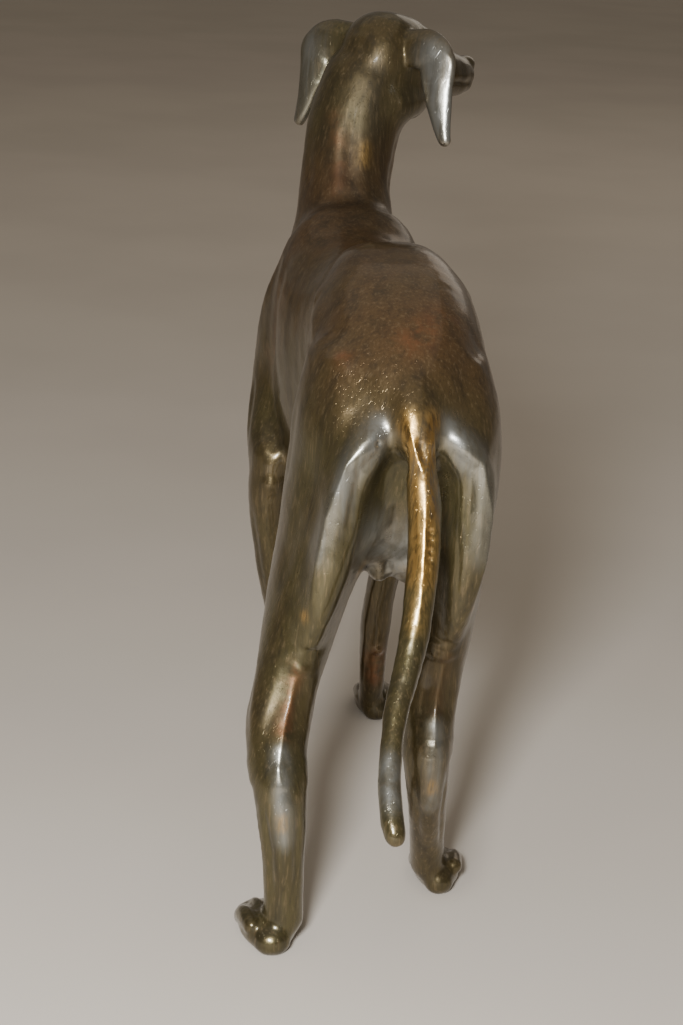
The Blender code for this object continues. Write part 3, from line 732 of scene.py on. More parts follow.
@dataclass(frozen=True)
class Tail(Form):
    """The long hanging tail."""

    sections: Rows = (
        (0.000, -0.385, 0.905, 0.038, 0.030),
        (0.002, -0.432, 0.868, 0.034, 0.030),
        (0.005, -0.458, 0.826, 0.029, 0.027),
        (0.011, -0.475, 0.779, 0.0240, 0.024),
        (0.016, -0.488, 0.736, 0.0260, 0.025),
        (0.017, -0.501, 0.693, 0.0260, 0.025),
        (0.015, -0.516, 0.650, 0.0250, 0.025),
        (0.009, -0.536, 0.597, 0.0240, 0.024),
        (0.001, -0.559, 0.549, 0.0230, 0.023),
        (-0.013, -0.588, 0.502, 0.0215, 0.022),
        (-0.030, -0.622, 0.458, 0.0190, 0.020),
        (-0.041, -0.660, 0.416, 0.0175, 0.019),
        (-0.048, -0.700, 0.379, 0.0175, 0.018),
        (-0.049, -0.727, 0.355, 0.0180, 0.018),
        (-0.048, -0.747, 0.335, 0.0180, 0.018),
        (-0.045, -0.760, 0.320, 0.0165, 0.016),
    )

    def broad(self) -> list[Loft]:
        """The tail as one loft."""
        return [Loft(self.sections)]

    def strokes(self) -> list[Stroke]:
        """The forked ridge at its root, the folds beside it, and casting pits down its right side."""
        marks = [
            Stroke(((-0.012, -0.470, 0.850), (0.002, -0.490, 0.805),
                    (0.013, -0.506, 0.765)), 0.007, 0.0042, Relief.CREST),
            Stroke(((0.030, -0.470, 0.845), (0.022, -0.492, 0.805),
                    (0.013, -0.506, 0.765)), 0.007, 0.0040, Relief.CREST),
            Stroke(((0.013, -0.506, 0.765), (0.012, -0.525, 0.700), (0.010, -0.545, 0.640),
                    (0.004, -0.575, 0.560)), 0.008, 0.0026, Relief.CREST),
            Stroke(((0.006, -0.490, 0.830), (0.010, -0.500, 0.795)), 0.007, -0.0035),
            Stroke(((-0.031, -0.484, 0.828), (-0.018, -0.465, 0.778),
                    (-0.004, -0.437, 0.719)), 0.009, -0.0060),
            Stroke(((0.032, -0.505, 0.829), (0.034, -0.505, 0.780),
                    (0.032, -0.500, 0.723)), 0.008, -0.0045),
            Stroke(((0.004, -0.580, 0.540), (-0.016, -0.615, 0.480),
                    (-0.040, -0.680, 0.408)), 0.007, 0.0020),
        ]
        pits = ((0.026, -0.538, 0.703), (0.029, -0.543, 0.691), (0.026, -0.547, 0.676),
                (0.029, -0.552, 0.663), (-0.046, -0.488, 0.820), (-0.039, -0.491, 0.811),
                (-0.032, -0.489, 0.800), (-0.041, -0.493, 0.795), (-0.032, -0.486, 0.783),
                (-0.036, -0.486, 0.770))
        return marks + [Stroke((pit,), 0.0045, -0.0040) for pit in pits]

    def stains(self) -> list[Stain]:
        """Brass laid bare from the root to the middle, and a painted highlight in pale grey on the lower end.
        """
        return [
            Stain(Mark.GOLD, ((-0.012, -0.470, 0.850), (0.013, -0.506, 0.765)), 0.016, 0.9),
            Stain(Mark.GOLD, ((0.030, -0.470, 0.850), (0.013, -0.506, 0.765)), 0.016, 0.9),
            Stain(Mark.GOLD, ((0.010, -0.506, 0.765), (0.010, -0.530, 0.690),
                              (0.006, -0.550, 0.640)), 0.022, 1.0),
            Stain(Mark.GOLD, ((0.004, -0.555, 0.610), (0.000, -0.570, 0.570)), 0.016, 0.30),
            # painted highlight in pale grey on the lower end of the tail
            Stain(Mark.SILVER, ((-0.048, -0.690, 0.395), (-0.050, -0.725, 0.360)), 0.020, 0.7),
        ]


@dataclass(frozen=True)
class Head(Form):
    """The narrow head, turned right and tipped a little down. Its places are forward, out and up."""

    skull: Point = (0.064, 0.490, 1.287)
    turn: float = 43.0
    tip: float = 9.0
    profile: Rows = (
        (-0.080, -0.004, 0.004, 0.004),
        (-0.075, -0.005, 0.031, 0.034),
        (-0.059, -0.007, 0.054, 0.061),
        (-0.034, -0.009, 0.069, 0.079),
        (0.000, -0.010, 0.077, 0.088),
        (0.045, -0.016, 0.075, 0.092),
        (0.090, -0.019, 0.064, 0.083),
        (0.135, -0.020, 0.050, 0.066),
        (0.180, -0.019, 0.041, 0.053),
        (0.225, -0.017, 0.036, 0.045),
        (0.262, -0.016, 0.032, 0.040),
        (0.288, -0.016, 0.026, 0.032),
    )
    nose: Rows = ((0.270, 0.010, 0.016, 0.014), (0.296, 0.011, 0.018, 0.016), (0.309, 0.008, 0.014, 0.013))
    brow: Rows = ((0.068, 0.046, 0.034, 0.024), (0.096, 0.044, 0.034, 0.022), (0.122, 0.034, 0.034, 0.015))
    eye: Rows = ((0.094, 0.052, 0.017, 0.0135), (0.100, 0.0515, 0.0165, 0.0135))
    cheek: Rows = (
        (0.112, 0.020, -0.058, 0.027),
        (0.072, 0.032, -0.072, 0.034),
        (0.030, 0.038, -0.080, 0.042),
        (-0.006, 0.036, -0.087, 0.045),
        (-0.036, 0.028, -0.099, 0.040),
    )
    exponent: float = 2.3

    def axes(self) -> tuple[np.ndarray, np.ndarray, np.ndarray]:
        """The head's own ways forward, to its right and up."""
        turn, tip = radians(self.turn), radians(self.tip)
        ahead = np.array([sin(turn) * cos(tip), cos(turn) * cos(tip), -sin(tip)])
        right = np.array([cos(turn), -sin(turn), 0.0])
        return ahead, right, np.cross(right, ahead)

    def placed(self, forward: float, out: float, height: float) -> Point:
        """A place of the head in the body's coordinates."""
        ahead, right, up = self.axes()
        return tuple(np.array(self.skull) + ahead * forward + right * out + up * height)

    def broad(self) -> list[Loft]:
        """Skull and muzzle, cheeks and brows."""
        right = tuple(self.axes()[1])
        lofts = [Loft(tuple(self.placed(f, 0.0, z) + (w, t) for f, z, w, t in self.profile),
                      side=right, exponent=self.exponent)]
        for side in Side:
            for rows in (self.cheek, self.brow):
                lofts.append(Loft(tuple(self.placed(f, side.value * o, z) + (r, r) for f, o, z, r in rows),
                                  side=right))
        return lofts

    def fine(self) -> list[Loft]:
        """The nose and the eyeballs."""
        right = tuple(self.axes()[1])
        lofts = [Loft(tuple(self.placed(f, 0.0, z) + (w, t) for f, z, w, t in self.nose),
                      side=right, around=24)]
        for side in Side:
            rows = tuple(self.placed(f, side.value * o, z) + (r, r) for f, o, z, r in self.eye)
            lofts.append(Loft(rows, side=right, around=24))
        return lofts

    def strokes(self) -> list[Stroke]:
        """Forehead, stop, lids, cheekbones, lips, nostrils and the hollows round the ears."""
        lines = (
            (((0.095, 0.070, 0.034), (0.118, 0.052, 0.026)), 0.008, 0.0035),
            (((0.078, 0.066, 0.022), (0.092, 0.068, 0.032), (0.108, 0.060, 0.028),
              (0.116, 0.052, 0.014)), 0.005, 0.0030),
            (((0.080, 0.066, 0.008), (0.096, 0.066, 0.002), (0.114, 0.054, 0.006)), 0.005, 0.0028),
            (((0.072, 0.070, 0.014), (0.064, 0.074, 0.012)), 0.006, -0.0030),
            (((0.120, 0.048, 0.012), (0.132, 0.040, 0.010)), 0.006, -0.0034),
            (((0.110, 0.056, -0.008), (0.070, 0.072, -0.014), (0.020, 0.080, -0.014)), 0.013, 0.0034),
            (((0.050, 0.066, 0.036), (0.030, 0.070, 0.034)), 0.020, -0.0040),
            (((0.150, 0.042, -0.006), (0.210, 0.036, -0.004)), 0.014, -0.0026),
            (((0.300, 0.010, -0.020), (0.262, 0.028, -0.026), (0.200, 0.038, -0.030),
              (0.135, 0.050, -0.040)), 0.0055, -0.0038),
            (((0.270, 0.028, -0.014), (0.200, 0.038, -0.018)), 0.009, 0.0020),
            (((0.316, 0.012, 0.010),), 0.0055, -0.0055),
            (((0.318, 0.006, -0.004), (0.306, 0.004, -0.020)), 0.004, -0.0026),
            (((0.060, 0.050, -0.100), (0.020, 0.060, -0.110)), 0.014, -0.0030),
        )
        marks = [
            Stroke((self.placed(0.150, 0.0, 0.045), self.placed(0.100, 0.0, 0.062),
                    self.placed(0.060, 0.0, 0.074)), 0.016, -0.0040),
            Stroke((self.placed(0.060, 0.0, 0.076), self.placed(0.0, 0.0, 0.080)), 0.010, -0.0018),
            Stroke((self.placed(-0.030, 0.0, 0.070), self.placed(-0.070, 0.0, 0.036)), 0.030, 0.0030),
            Stroke((self.placed(0.160, 0.0, 0.040), self.placed(0.270, 0.0, 0.028)), 0.012, 0.0016),
        ]
        for side in Side:
            for places, radius, height in lines:
                line = tuple(self.placed(f, side.value * o, z) for f, o, z in places)
                marks.append(Stroke(line, radius, height))
        return marks


@dataclass(frozen=True)
class Ear(Form):
    """A drop ear: a thin leaf that leaves the skull sideways, folds over and hangs."""

    head: Head
    side: Side
    leaf: Rows = (
        (-0.004, 0.030, 0.010, 0.034, 0.0220, 0.0),
        (-0.012, 0.074, 0.016, 0.036, 0.0190, 0.0),
        (-0.018, 0.112, 0.014, 0.038, 0.0150, 0.06),
        (-0.021, 0.134, -0.004, 0.038, 0.0125, 0.12),
        (-0.021, 0.138, -0.036, 0.034, 0.0115, 0.15),
        (-0.020, 0.144, -0.068, 0.028, 0.0110, 0.15),
        (-0.018, 0.152, -0.100, 0.021, 0.0105, 0.12),
        (-0.016, 0.161, -0.128, 0.016, 0.0100, 0.06),
        (-0.014, 0.167, -0.143, 0.012, 0.0095, 0.0),
    )
    swing: float = 0.05

    def placed(self, forward: float, out: float, height: float) -> Point:
        """A place of the ear, which swings to the right the more it hangs."""
        return self.head.placed(forward, self.side.value * out - self.swing * height, height)

    def fine(self) -> list[Loft]:
        """The leaf, its edges curled forward."""
        ahead, right, up = self.head.axes()
        rows = tuple(self.placed(f, o, z) + (w, t, 0.0, self.side.value * c)
                     for f, o, z, w, t, c in self.leaf)
        return [Loft(rows, side=tuple(right * self.side.value + up), steps=9)]

    def strokes(self) -> list[Stroke]:
        """The rim along the leaf's two edges, the fold at its root and the hollow behind it."""
        lines = (
            (((-0.018, 0.098, 0.050), (-0.020, 0.168, 0.006), (-0.018, 0.176, -0.060),
              (-0.012, 0.174, -0.130)), 0.010, 0.0022),
            (((-0.030, 0.120, -0.030), (-0.032, 0.128, -0.070)), 0.014, -0.0018),
            (((-0.034, 0.070, 0.000), (-0.036, 0.094, -0.010)), 0.016, -0.0018),
            (((-0.030, 0.082, 0.036), (-0.034, 0.120, 0.022), (-0.034, 0.140, -0.006)), 0.014, 0.0020),
        )
        return [Stroke(tuple(self.placed(*place)
                             for place in places), radius, height) for places, radius, height in lines]

    def stains(self) -> list[Stain]:
        """A painted highlight in pale grey down the back of the leaf, brighter on the right ear."""
        # painted highlight down the back of the leaf, brighter on the right ear
        strength = 1.0 if self.side is Side.RIGHT else 0.55
        line = tuple(self.placed(*place)
                     for place in ((-0.034, 0.140, 0.0), (-0.030, 0.150, -0.060), (-0.022, 0.166, -0.140)))
        return [Stain(Mark.SILVER, line, 0.034, strength)]


class Skin:
    """A mesh as arrays: its points, who neighbours whom, and its outward normals."""

    def __init__(self, mesh: bpy.types.Mesh) -> None:
        """Read a mesh.

        Args:
            mesh: the mesh, whose points `write` moves.
        """
        self.mesh = mesh
        points = np.empty(len(mesh.vertices) * 3)
        mesh.vertices.foreach_get("co", points)
        self.points = points.reshape(-1, 3)
        edges = np.empty(len(mesh.edges) * 2, int)
        mesh.edges.foreach_get("vertices", edges)
        self.here = np.concatenate([edges[0::2], edges[1::2]])
        self.there = np.concatenate([edges[1::2], edges[0::2]])
        self.count = np.maximum(np.bincount(self.here, minlength=len(self.points)), 1)

    def pull(self, values: np.ndarray) -> np.ndarray:
        """The mean over a point's neighbours less its own value, for points or plain numbers."""
        if values.ndim == 1:
            return np.bincount(self.here, values[self.there], len(values)) / self.count - values
        return np.stack([self.pull(values[:, axis]) for axis in range(values.shape[1])], 1)

    def write(self) -> None:
        """Put the points back into the mesh."""
        self.mesh.vertices.foreach_set("co", self.points.ravel())
        self.mesh.update()

    def normals(self) -> np.ndarray:
        """The outward normal at each point."""
        self.write()
        found = np.empty(len(self.points) * 3, np.float32)
        self.mesh.vertex_normals.foreach_get("vector", found)
        return found.reshape(-1, 3).astype(float)

    def soften(self, passes: int) -> None:
        """Even the surface out by steps in and out by turns, which doesn't shrink it."""
        for _ in range(passes):
            for step in EVEN_STEPS:
                self.points = self.points + self.pull(self.points) * step

    def fill_creases(self, passes: int, levels: Point, softness: Point) -> None:
        """Fill the creases between fused masses and leave ridges their size.

        A point moves towards the mean of its neighbours, but only as far as that lifts it outwards.

        Args:
            passes: how often to do it.
            levels: heights of the body.
            softness: the share of the way that a point moves at each of those heights.
        """
        share = np.interp(self.points[:, 2], levels, softness)
        for _ in range(passes):
            outward = self.normals()
            lift = np.sum(self.pull(self.points) * outward, axis=1)
            self.points = self.points + outward * (np.maximum(lift, 0.0) * share)[:, None]

    def nearness(
        self, line: Rows, radius: float, fade: float, normals: np.ndarray
    ) -> tuple[np.ndarray, np.ndarray]:
        """How near points are to a line that is laid onto the surface.

        Each place of the line moves to the nearest point of the surface. A point's distance is
        that to the line in radii. Points that face away from the line count as far.

        Args:
            line: places near the surface.
            radius: the length that counts as one.
            fade: share of the line over which each end runs out.
            normals: the outward normal at each point.

        Returns:
            The numbers of the points within reach, and for each its distance in radii and
            a weight from 0 to 1 for the ends and for facing, as two columns.
        """
        near = [int(np.argmin(np.sum((self.points - np.array(place)) ** 2, axis=1))) for place in line]
        knots = self.points[near]
        facing = unit(normals[near].sum(axis=0))
        low, high = knots.min(axis=0) - REACH * radius, knots.max(axis=0) + REACH * radius
        chosen = np.nonzero(np.all((self.points > low) & (self.points < high), axis=1))[0]
        spots = self.points[chosen]
        best = np.full(len(spots), np.inf)
        share = np.full(len(spots), 0.5)
        if len(knots) == 1:
            best = np.linalg.norm(spots - knots[0], axis=1)
        else:
            steps = np.linalg.norm(np.diff(knots, axis=0), axis=1)
            whole = max(steps.sum(), 1e-9)
            start = 0.0
            for a, b, step in zip(knots, knots[1:], steps):
                t = np.clip((spots - a) @ (b - a) / max(step * step, 1e-12), 0.0, 1.0)
                gap = np.linalg.norm(spots - (a + t[:, None] * (b - a)), axis=1)
                closer = gap < best
                best = np.where(closer, gap, best)
                share = np.where(closer, (start + t * step) / whole, share)
                start += step
        ends = ramp(np.minimum(share, 1 - share), -0.25 * fade, fade) if fade and len(knots) > 1 else 1.0
        weight = ramp(normals[chosen] @ facing, *FACING) * ends
        return chosen, np.stack([best / radius, weight * np.ones(len(spots))], 1)

    def work_in(self, strokes: list[Stroke]) -> None:
        """Raise and press the surface along strokes, all measured on the same normals.

        A round stroke lifts by height * exp(-d^2), and a crest by height * exp(-1.6 d), where d is
        the distance from its line in radii.

        Args:
            strokes: the relief.
        """
        normals = self.normals()
        lift = np.zeros(len(self.points))
        for stroke in strokes:
            chosen, near = self.nearness(stroke.line, stroke.radius, stroke.fade, normals)
            away = near[:, 0]
            fall = np.exp(-(away**2)) if stroke.relief is Relief.ROUND else np.exp(-CREST_FALL * away)
            fall = fall * (1 - ramp(away, *RUN_OUT))
            np.add.at(lift, chosen, stroke.height * fall * near[:, 1])
        self.points = self.points + normals * lift[:, None]
        self.write()

    def ripple(self, height: float, length: float) -> None:
        """Give the surface the faint unevenness of hand-modelled wax.

        The lift is the height times the mean of three products of sines, whose waves run in three
        slanting directions and are about the given length.

        Args:
            height: the most that it lifts.
            length: the length of a wave.
        """
        k = 2 * pi / length
        p = self.points
        waves = [
            np.sin(k * (p @ np.array(a)) + 1.7 * i) * np.sin(0.73 * k * (p @ np.array(b)) + 0.9 * i)
            for i, (a, b) in enumerate(RIPPLE_WAYS)
        ]
        self.points = self.points + self.normals() * (height * np.mean(waves, axis=0))[:, None]
        self.write()

    def keep(self, mark: Mark, values: np.ndarray) -> None:
        """Keep one number per point in the mesh under the mark's name."""
        kept = self.mesh.attributes.new(mark.value, "FLOAT", "POINT")
        kept.data.foreach_set("value", np.clip(values, 0.0, 1.0).astype(np.float32))

    def bend(self, spread: int) -> np.ndarray:
        """How the surface curves, in bends per withers height: above 0 on ridges and below 0 in hollows.

        It is the mean of the neighbours less the point, measured along the normal and divided by the
        square of the mean edge, then spread over the neighbours.

        Args:
            spread: how often to spread it.
        """
        normals = self.normals()
        edge = np.linalg.norm(self.points[self.there] - self.points[self.here], axis=1)
        square = np.bincount(self.here, edge**2, len(self.points)) / self.count
        bend = -np.sum(self.pull(self.points) * normals, axis=1) / np.maximum(square, 1e-9)
        for _ in range(spread):
            bend = bend + BEND_SPREAD * self.pull(bend)
        return bend


class Wire:
    """A number in a node tree that stands in a Python expression."""

    def __init__(self, tree: bpy.types.NodeTree, socket: bpy.types.NodeSocket) -> None:
        """Hold a socket of a tree."""
        self.tree = tree
        self.socket = socket

    def _maths(self, operation: str, first: "Wire | float", second: "Wire | float | None" = None) -> "Wire":
        """A Math node on one or two numbers."""
        node = self.tree.nodes.new("ShaderNodeMath")
        node.operation = operation
        for place, value in enumerate((first, second)):
            if isinstance(value, Wire):
                self.tree.links.new(value.socket, node.inputs[place])
            elif value is not None:
                node.inputs[place].default_value = value
        return Wire(self.tree, node.outputs[0])

    def __add__(self, other: "Wire | float") -> "Wire":
        """The sum."""
        return self._maths("ADD", self, other)

    def __radd__(self, other: float) -> "Wire":
        """The sum with a number in front."""
        return self._maths("ADD", other, self)

    def __sub__(self, other: "Wire | float") -> "Wire":
        """The difference."""
        return self._maths("SUBTRACT", self, other)

    def __rsub__(self, other: float) -> "Wire":
        """The difference from a number in front."""
        return self._maths("SUBTRACT", other, self)

    def __mul__(self, other: "Wire | float") -> "Wire":
        """The product."""
        return self._maths("MULTIPLY", self, other)

    def __rmul__(self, other: float) -> "Wire":
        """The product with a number in front."""
        return self._maths("MULTIPLY", other, self)

    def most(self, other: "Wire | float") -> "Wire":
        """The larger of two numbers."""
        return self._maths("MAXIMUM", self, other)

    def least(self, other: "Wire | float") -> "Wire":
        """The smaller of two numbers."""
        return self._maths("MINIMUM", self, other)

    def ramp(self, low: float, high: float) -> "Wire":
        """Eased from 0 at low to 1 at high."""
        node = self.tree.nodes.new("ShaderNodeMapRange")
        node.interpolation_type = "SMOOTHSTEP"
        self.tree.links.new(self.socket, node.inputs["Value"])
        node.inputs["From Min"].default_value = low
        node.inputs["From Max"].default_value = high
        return Wire(self.tree, node.outputs["Result"])


class Recipe:
    """A material's node tree, with short ways to add what a finish needs."""

    def __init__(self, name: str) -> None:
        """Start a material with its Principled shader."""
        self.material = bpy.data.materials.new(name)
        self.material.use_nodes = True
        self.tree = self.material.node_tree
        self.shader = self.tree.nodes["Principled BSDF"]

    def node(self, kind: str, settings: dict | None = None, inputs: dict | None = None) -> bpy.types.Node:
        """Add a node.

        Args:
            kind: the node's type.
            settings: its own settings, set first.
            inputs: values or links for its sockets, by name or number.

        Returns:
            The node.
        """
        made = self.tree.nodes.new(kind)
        for key, value in (settings or {}).items():
            setattr(made, key, value)
        for key, value in (inputs or {}).items():
            self.feed(made.inputs[key], value)
        return made

    def feed(self, socket: bpy.types.NodeSocket, value: object) -> None:
        """Link a wire or a socket to a socket, or set a plain value on it."""
        if isinstance(value, Wire):
            value = value.socket
        if isinstance(value, bpy.types.NodeSocket):
            self.tree.links.new(value, socket)
        else:
            socket.default_value = value

    def mark(self, mark: Mark) -> Wire:
        """A number kept in the skin."""
        made = self.node("ShaderNodeAttribute", {"attribute_name": mark.value})
        return Wire(self.tree, made.outputs["Fac"])

    def coords(self, scale: Point = (1.0, 1.0, 1.0), turned: Point = (0.0, 0.0, 0.0)) -> bpy.types.NodeSocket:
        """The piece's own coordinates, turned and then stretched."""
        place = self.node("ShaderNodeTexCoord").outputs["Object"]
        turn = self.node("ShaderNodeMapping", None, {"Vector": place, "Rotation": turned}).outputs[0]
        return self.node("ShaderNodeMapping", None, {"Vector": turn, "Scale": scale}).outputs[0]

    def noise(
        self, coords: bpy.types.NodeSocket, scale: float, detail: float, rough: float = 0.5, twist: float = 0.0
    ) -> Wire:
        """Noise from 0 to 1."""
        inputs = {"Vector": coords, "Scale": scale, "Detail": detail, "Roughness": rough, "Distortion": twist}
        return Wire(self.tree, self.node("ShaderNodeTexNoise", None, inputs).outputs["Fac"])

    def blend(self, share: Wire, first: object, second: object) -> bpy.types.NodeSocket:
        """The first colour turning into the second as the share goes from 0 to 1."""
        made = self.node("ShaderNodeMix", {"data_type": "RGBA", "clamp_factor": True})
        self.feed(made.inputs[0], share)
        self.feed(made.inputs[6], first)
        self.feed(made.inputs[7], second)
        return made.outputs[2]

    def bump(
        self, height: Wire, depth: float, onto: bpy.types.NodeSocket | None = None
    ) -> bpy.types.NodeSocket:
        """Relief from a height from 0 to 1 times a depth in metres, on top of an earlier bump if given."""
        inputs = {"Height": height, "Distance": depth, "Strength": 1.0}
        if onto is not None:
            inputs["Normal"] = onto
        return self.node("ShaderNodeBump", None, inputs).outputs["Normal"]


@dataclass(frozen=True)
class PatinatedBronze:
    """Dark olive-brown waxed patina, streaked downwards, dark in the hollows, thin on the ridges, with painted
    highlights and a painted reflection.
    """

    umber: Point = (0.118, 0.066, 0.029, 1.0)
    olive: Point = (0.088, 0.072, 0.029, 1.0)
    soot: Point = (0.016, 0.014, 0.010, 1.0)
    russet: Point = (0.240, 0.092, 0.034, 1.0)
    warm_metal_and_reflection: Point = (0.660, 0.400, 0.120, 1.0)
    speck_and_highlight_grey: Point = (0.340, 0.345, 0.320, 1.0)
    rubbed: Point = (0.300, 0.215, 0.115, 1.0)
    metallic: float = 0.70
    gloss: float = 0.30

    def material(self) -> bpy.types.Material:
        """The finish as a material."""
        made = Recipe("patinated bronze")
        down = made.coords((1.0, 1.0, 0.14))
        plain = made.coords()
        clouds = made.noise(plain, 13.0, 3.0, 0.5, 0.5).ramp(0.36, 0.64)
        streaks = made.noise(down, 130.0, 4.0, 0.6, 0.3)
        brushed = made.noise(down, 700.0, 3.0, 0.55)
        spots = made.noise(plain, 95.0, 5.0, 0.65)
        grain = made.noise(plain, 900.0, 4.0, 0.6)
        worn, hollow = made.mark(Mark.WORN), made.mark(Mark.HOLLOW)
        gold, rust, silver = made.mark(Mark.GOLD), made.mark(Mark.RUST), made.mark(Mark.SILVER)
        dull = made.mark(Mark.DULL)

        height = Wire(made.tree, made.node("ShaderNodeSeparateXYZ", None, {0: plain}).outputs["Z"])
        brown = 0.30 * clouds + 0.60 * height.ramp(0.215, 0.285) * height.ramp(0.345, 0.305)
        colour = made.blend(brown, self.olive, self.umber)
        colour = made.blend(streaks.ramp(0.42, 0.68) * 0.42, colour, self.soot)
        colour = made.blend(brushed.ramp(0.52, 0.75) * 0.30, colour, self.rubbed)
        colour = made.blend(brushed.ramp(0.48, 0.28) * 0.30, colour, self.soot)
        colour = made.blend((rust * 1.2 * spots.ramp(0.34, 0.64)).least(0.75), colour, self.russet)
        # painted highlights: pale grey laid on by the highlight mark
        colour = made.blend((silver * (0.45 + 0.55 * streaks.ramp(0.35, 0.6))).least(0.85), colour,
                            self.speck_and_highlight_grey)
        # bare brass, and a painted warm reflection along the left of the neck
        colour = made.blend((gold * (0.45 + 0.75 * brushed.ramp(0.35, 0.6))).least(0.92), colour,
                            self.warm_metal_and_reflection)
        colour = made.blend((worn * (0.30 + 0.5 * spots.ramp(0.35, 0.6))).least(0.7), colour, self.rubbed)
        colour = made.blend((hollow * (0.70 + 0.4 * spots)).least(0.92), colour, self.soot)
        colour = made.blend(dull * 0.40, colour, self.soot)
        # small pale specks of the same grey, spread at random
        specks = spots.ramp(0.735, 0.76)
        colour = made.blend(specks * 0.4, colour, self.speck_and_highlight_grey)
        made.feed(made.shader.inputs["Base Color"], colour)

        uneven = self.gloss + 0.12 * (streaks - 0.5) + 0.08 * (grain - 0.5)
        rough = uneven + 0.22 * hollow + 0.26 * dull - 0.05 * worn
        made.feed(made.shader.inputs["Roughness"], rough.most(0.16).least(0.75))
        # more metallic where brass is bare, where highlights are painted and where the warm reflection is
        # painted
        made.feed(made.shader.inputs["Metallic"],
                  (self.metallic + 0.35 * gold + 0.2 * silver - 0.30 * hollow).least(1.0))
        made.feed(made.shader.inputs["Coat Weight"], (0.50 - 0.50 * dull - 0.4 * hollow).most(0.0))
        made.shader.inputs["Coat Roughness"].default_value = 0.12

        scratch_a = made.noise(made.coords((1.0, 0.06, 1.0), (0.5, 0.3, 0.6)), 760.0, 1.0).ramp(0.66, 0.72)
        scratch_b = made.noise(made.coords((0.06, 1.0, 1.0), (0.2, 1.1, 0.3)), 700.0, 1.0).ramp(0.67, 0.73)
        relief = made.bump(spots, 0.00013)
        relief = made.bump(grain, 0.00003, relief)
        relief = made.bump(1.0 - scratch_a.most(scratch_b), 0.00005, relief)
        made.feed(made.shader.inputs["Normal"], relief)
        return made.material


@dataclass(frozen=True)
class PalePlaster:
    """The plain pale floor."""

    colour: Point = (0.64, 0.58, 0.50, 1.0)

    def material(self) -> bpy.types.Material:
        """The finish as a material."""
        made = Recipe("pale floor")
        drift = made.noise(made.coords(), 3.0, 3.0)
        darker = tuple(c * 0.93 for c in self.colour[:3]) + (1.0,)
        made.feed(made.shader.inputs["Base Color"], made.blend(drift.ramp(0.3, 0.7), self.colour, darker))
        made.shader.inputs["Roughness"].default_value = 0.75
        return made.material


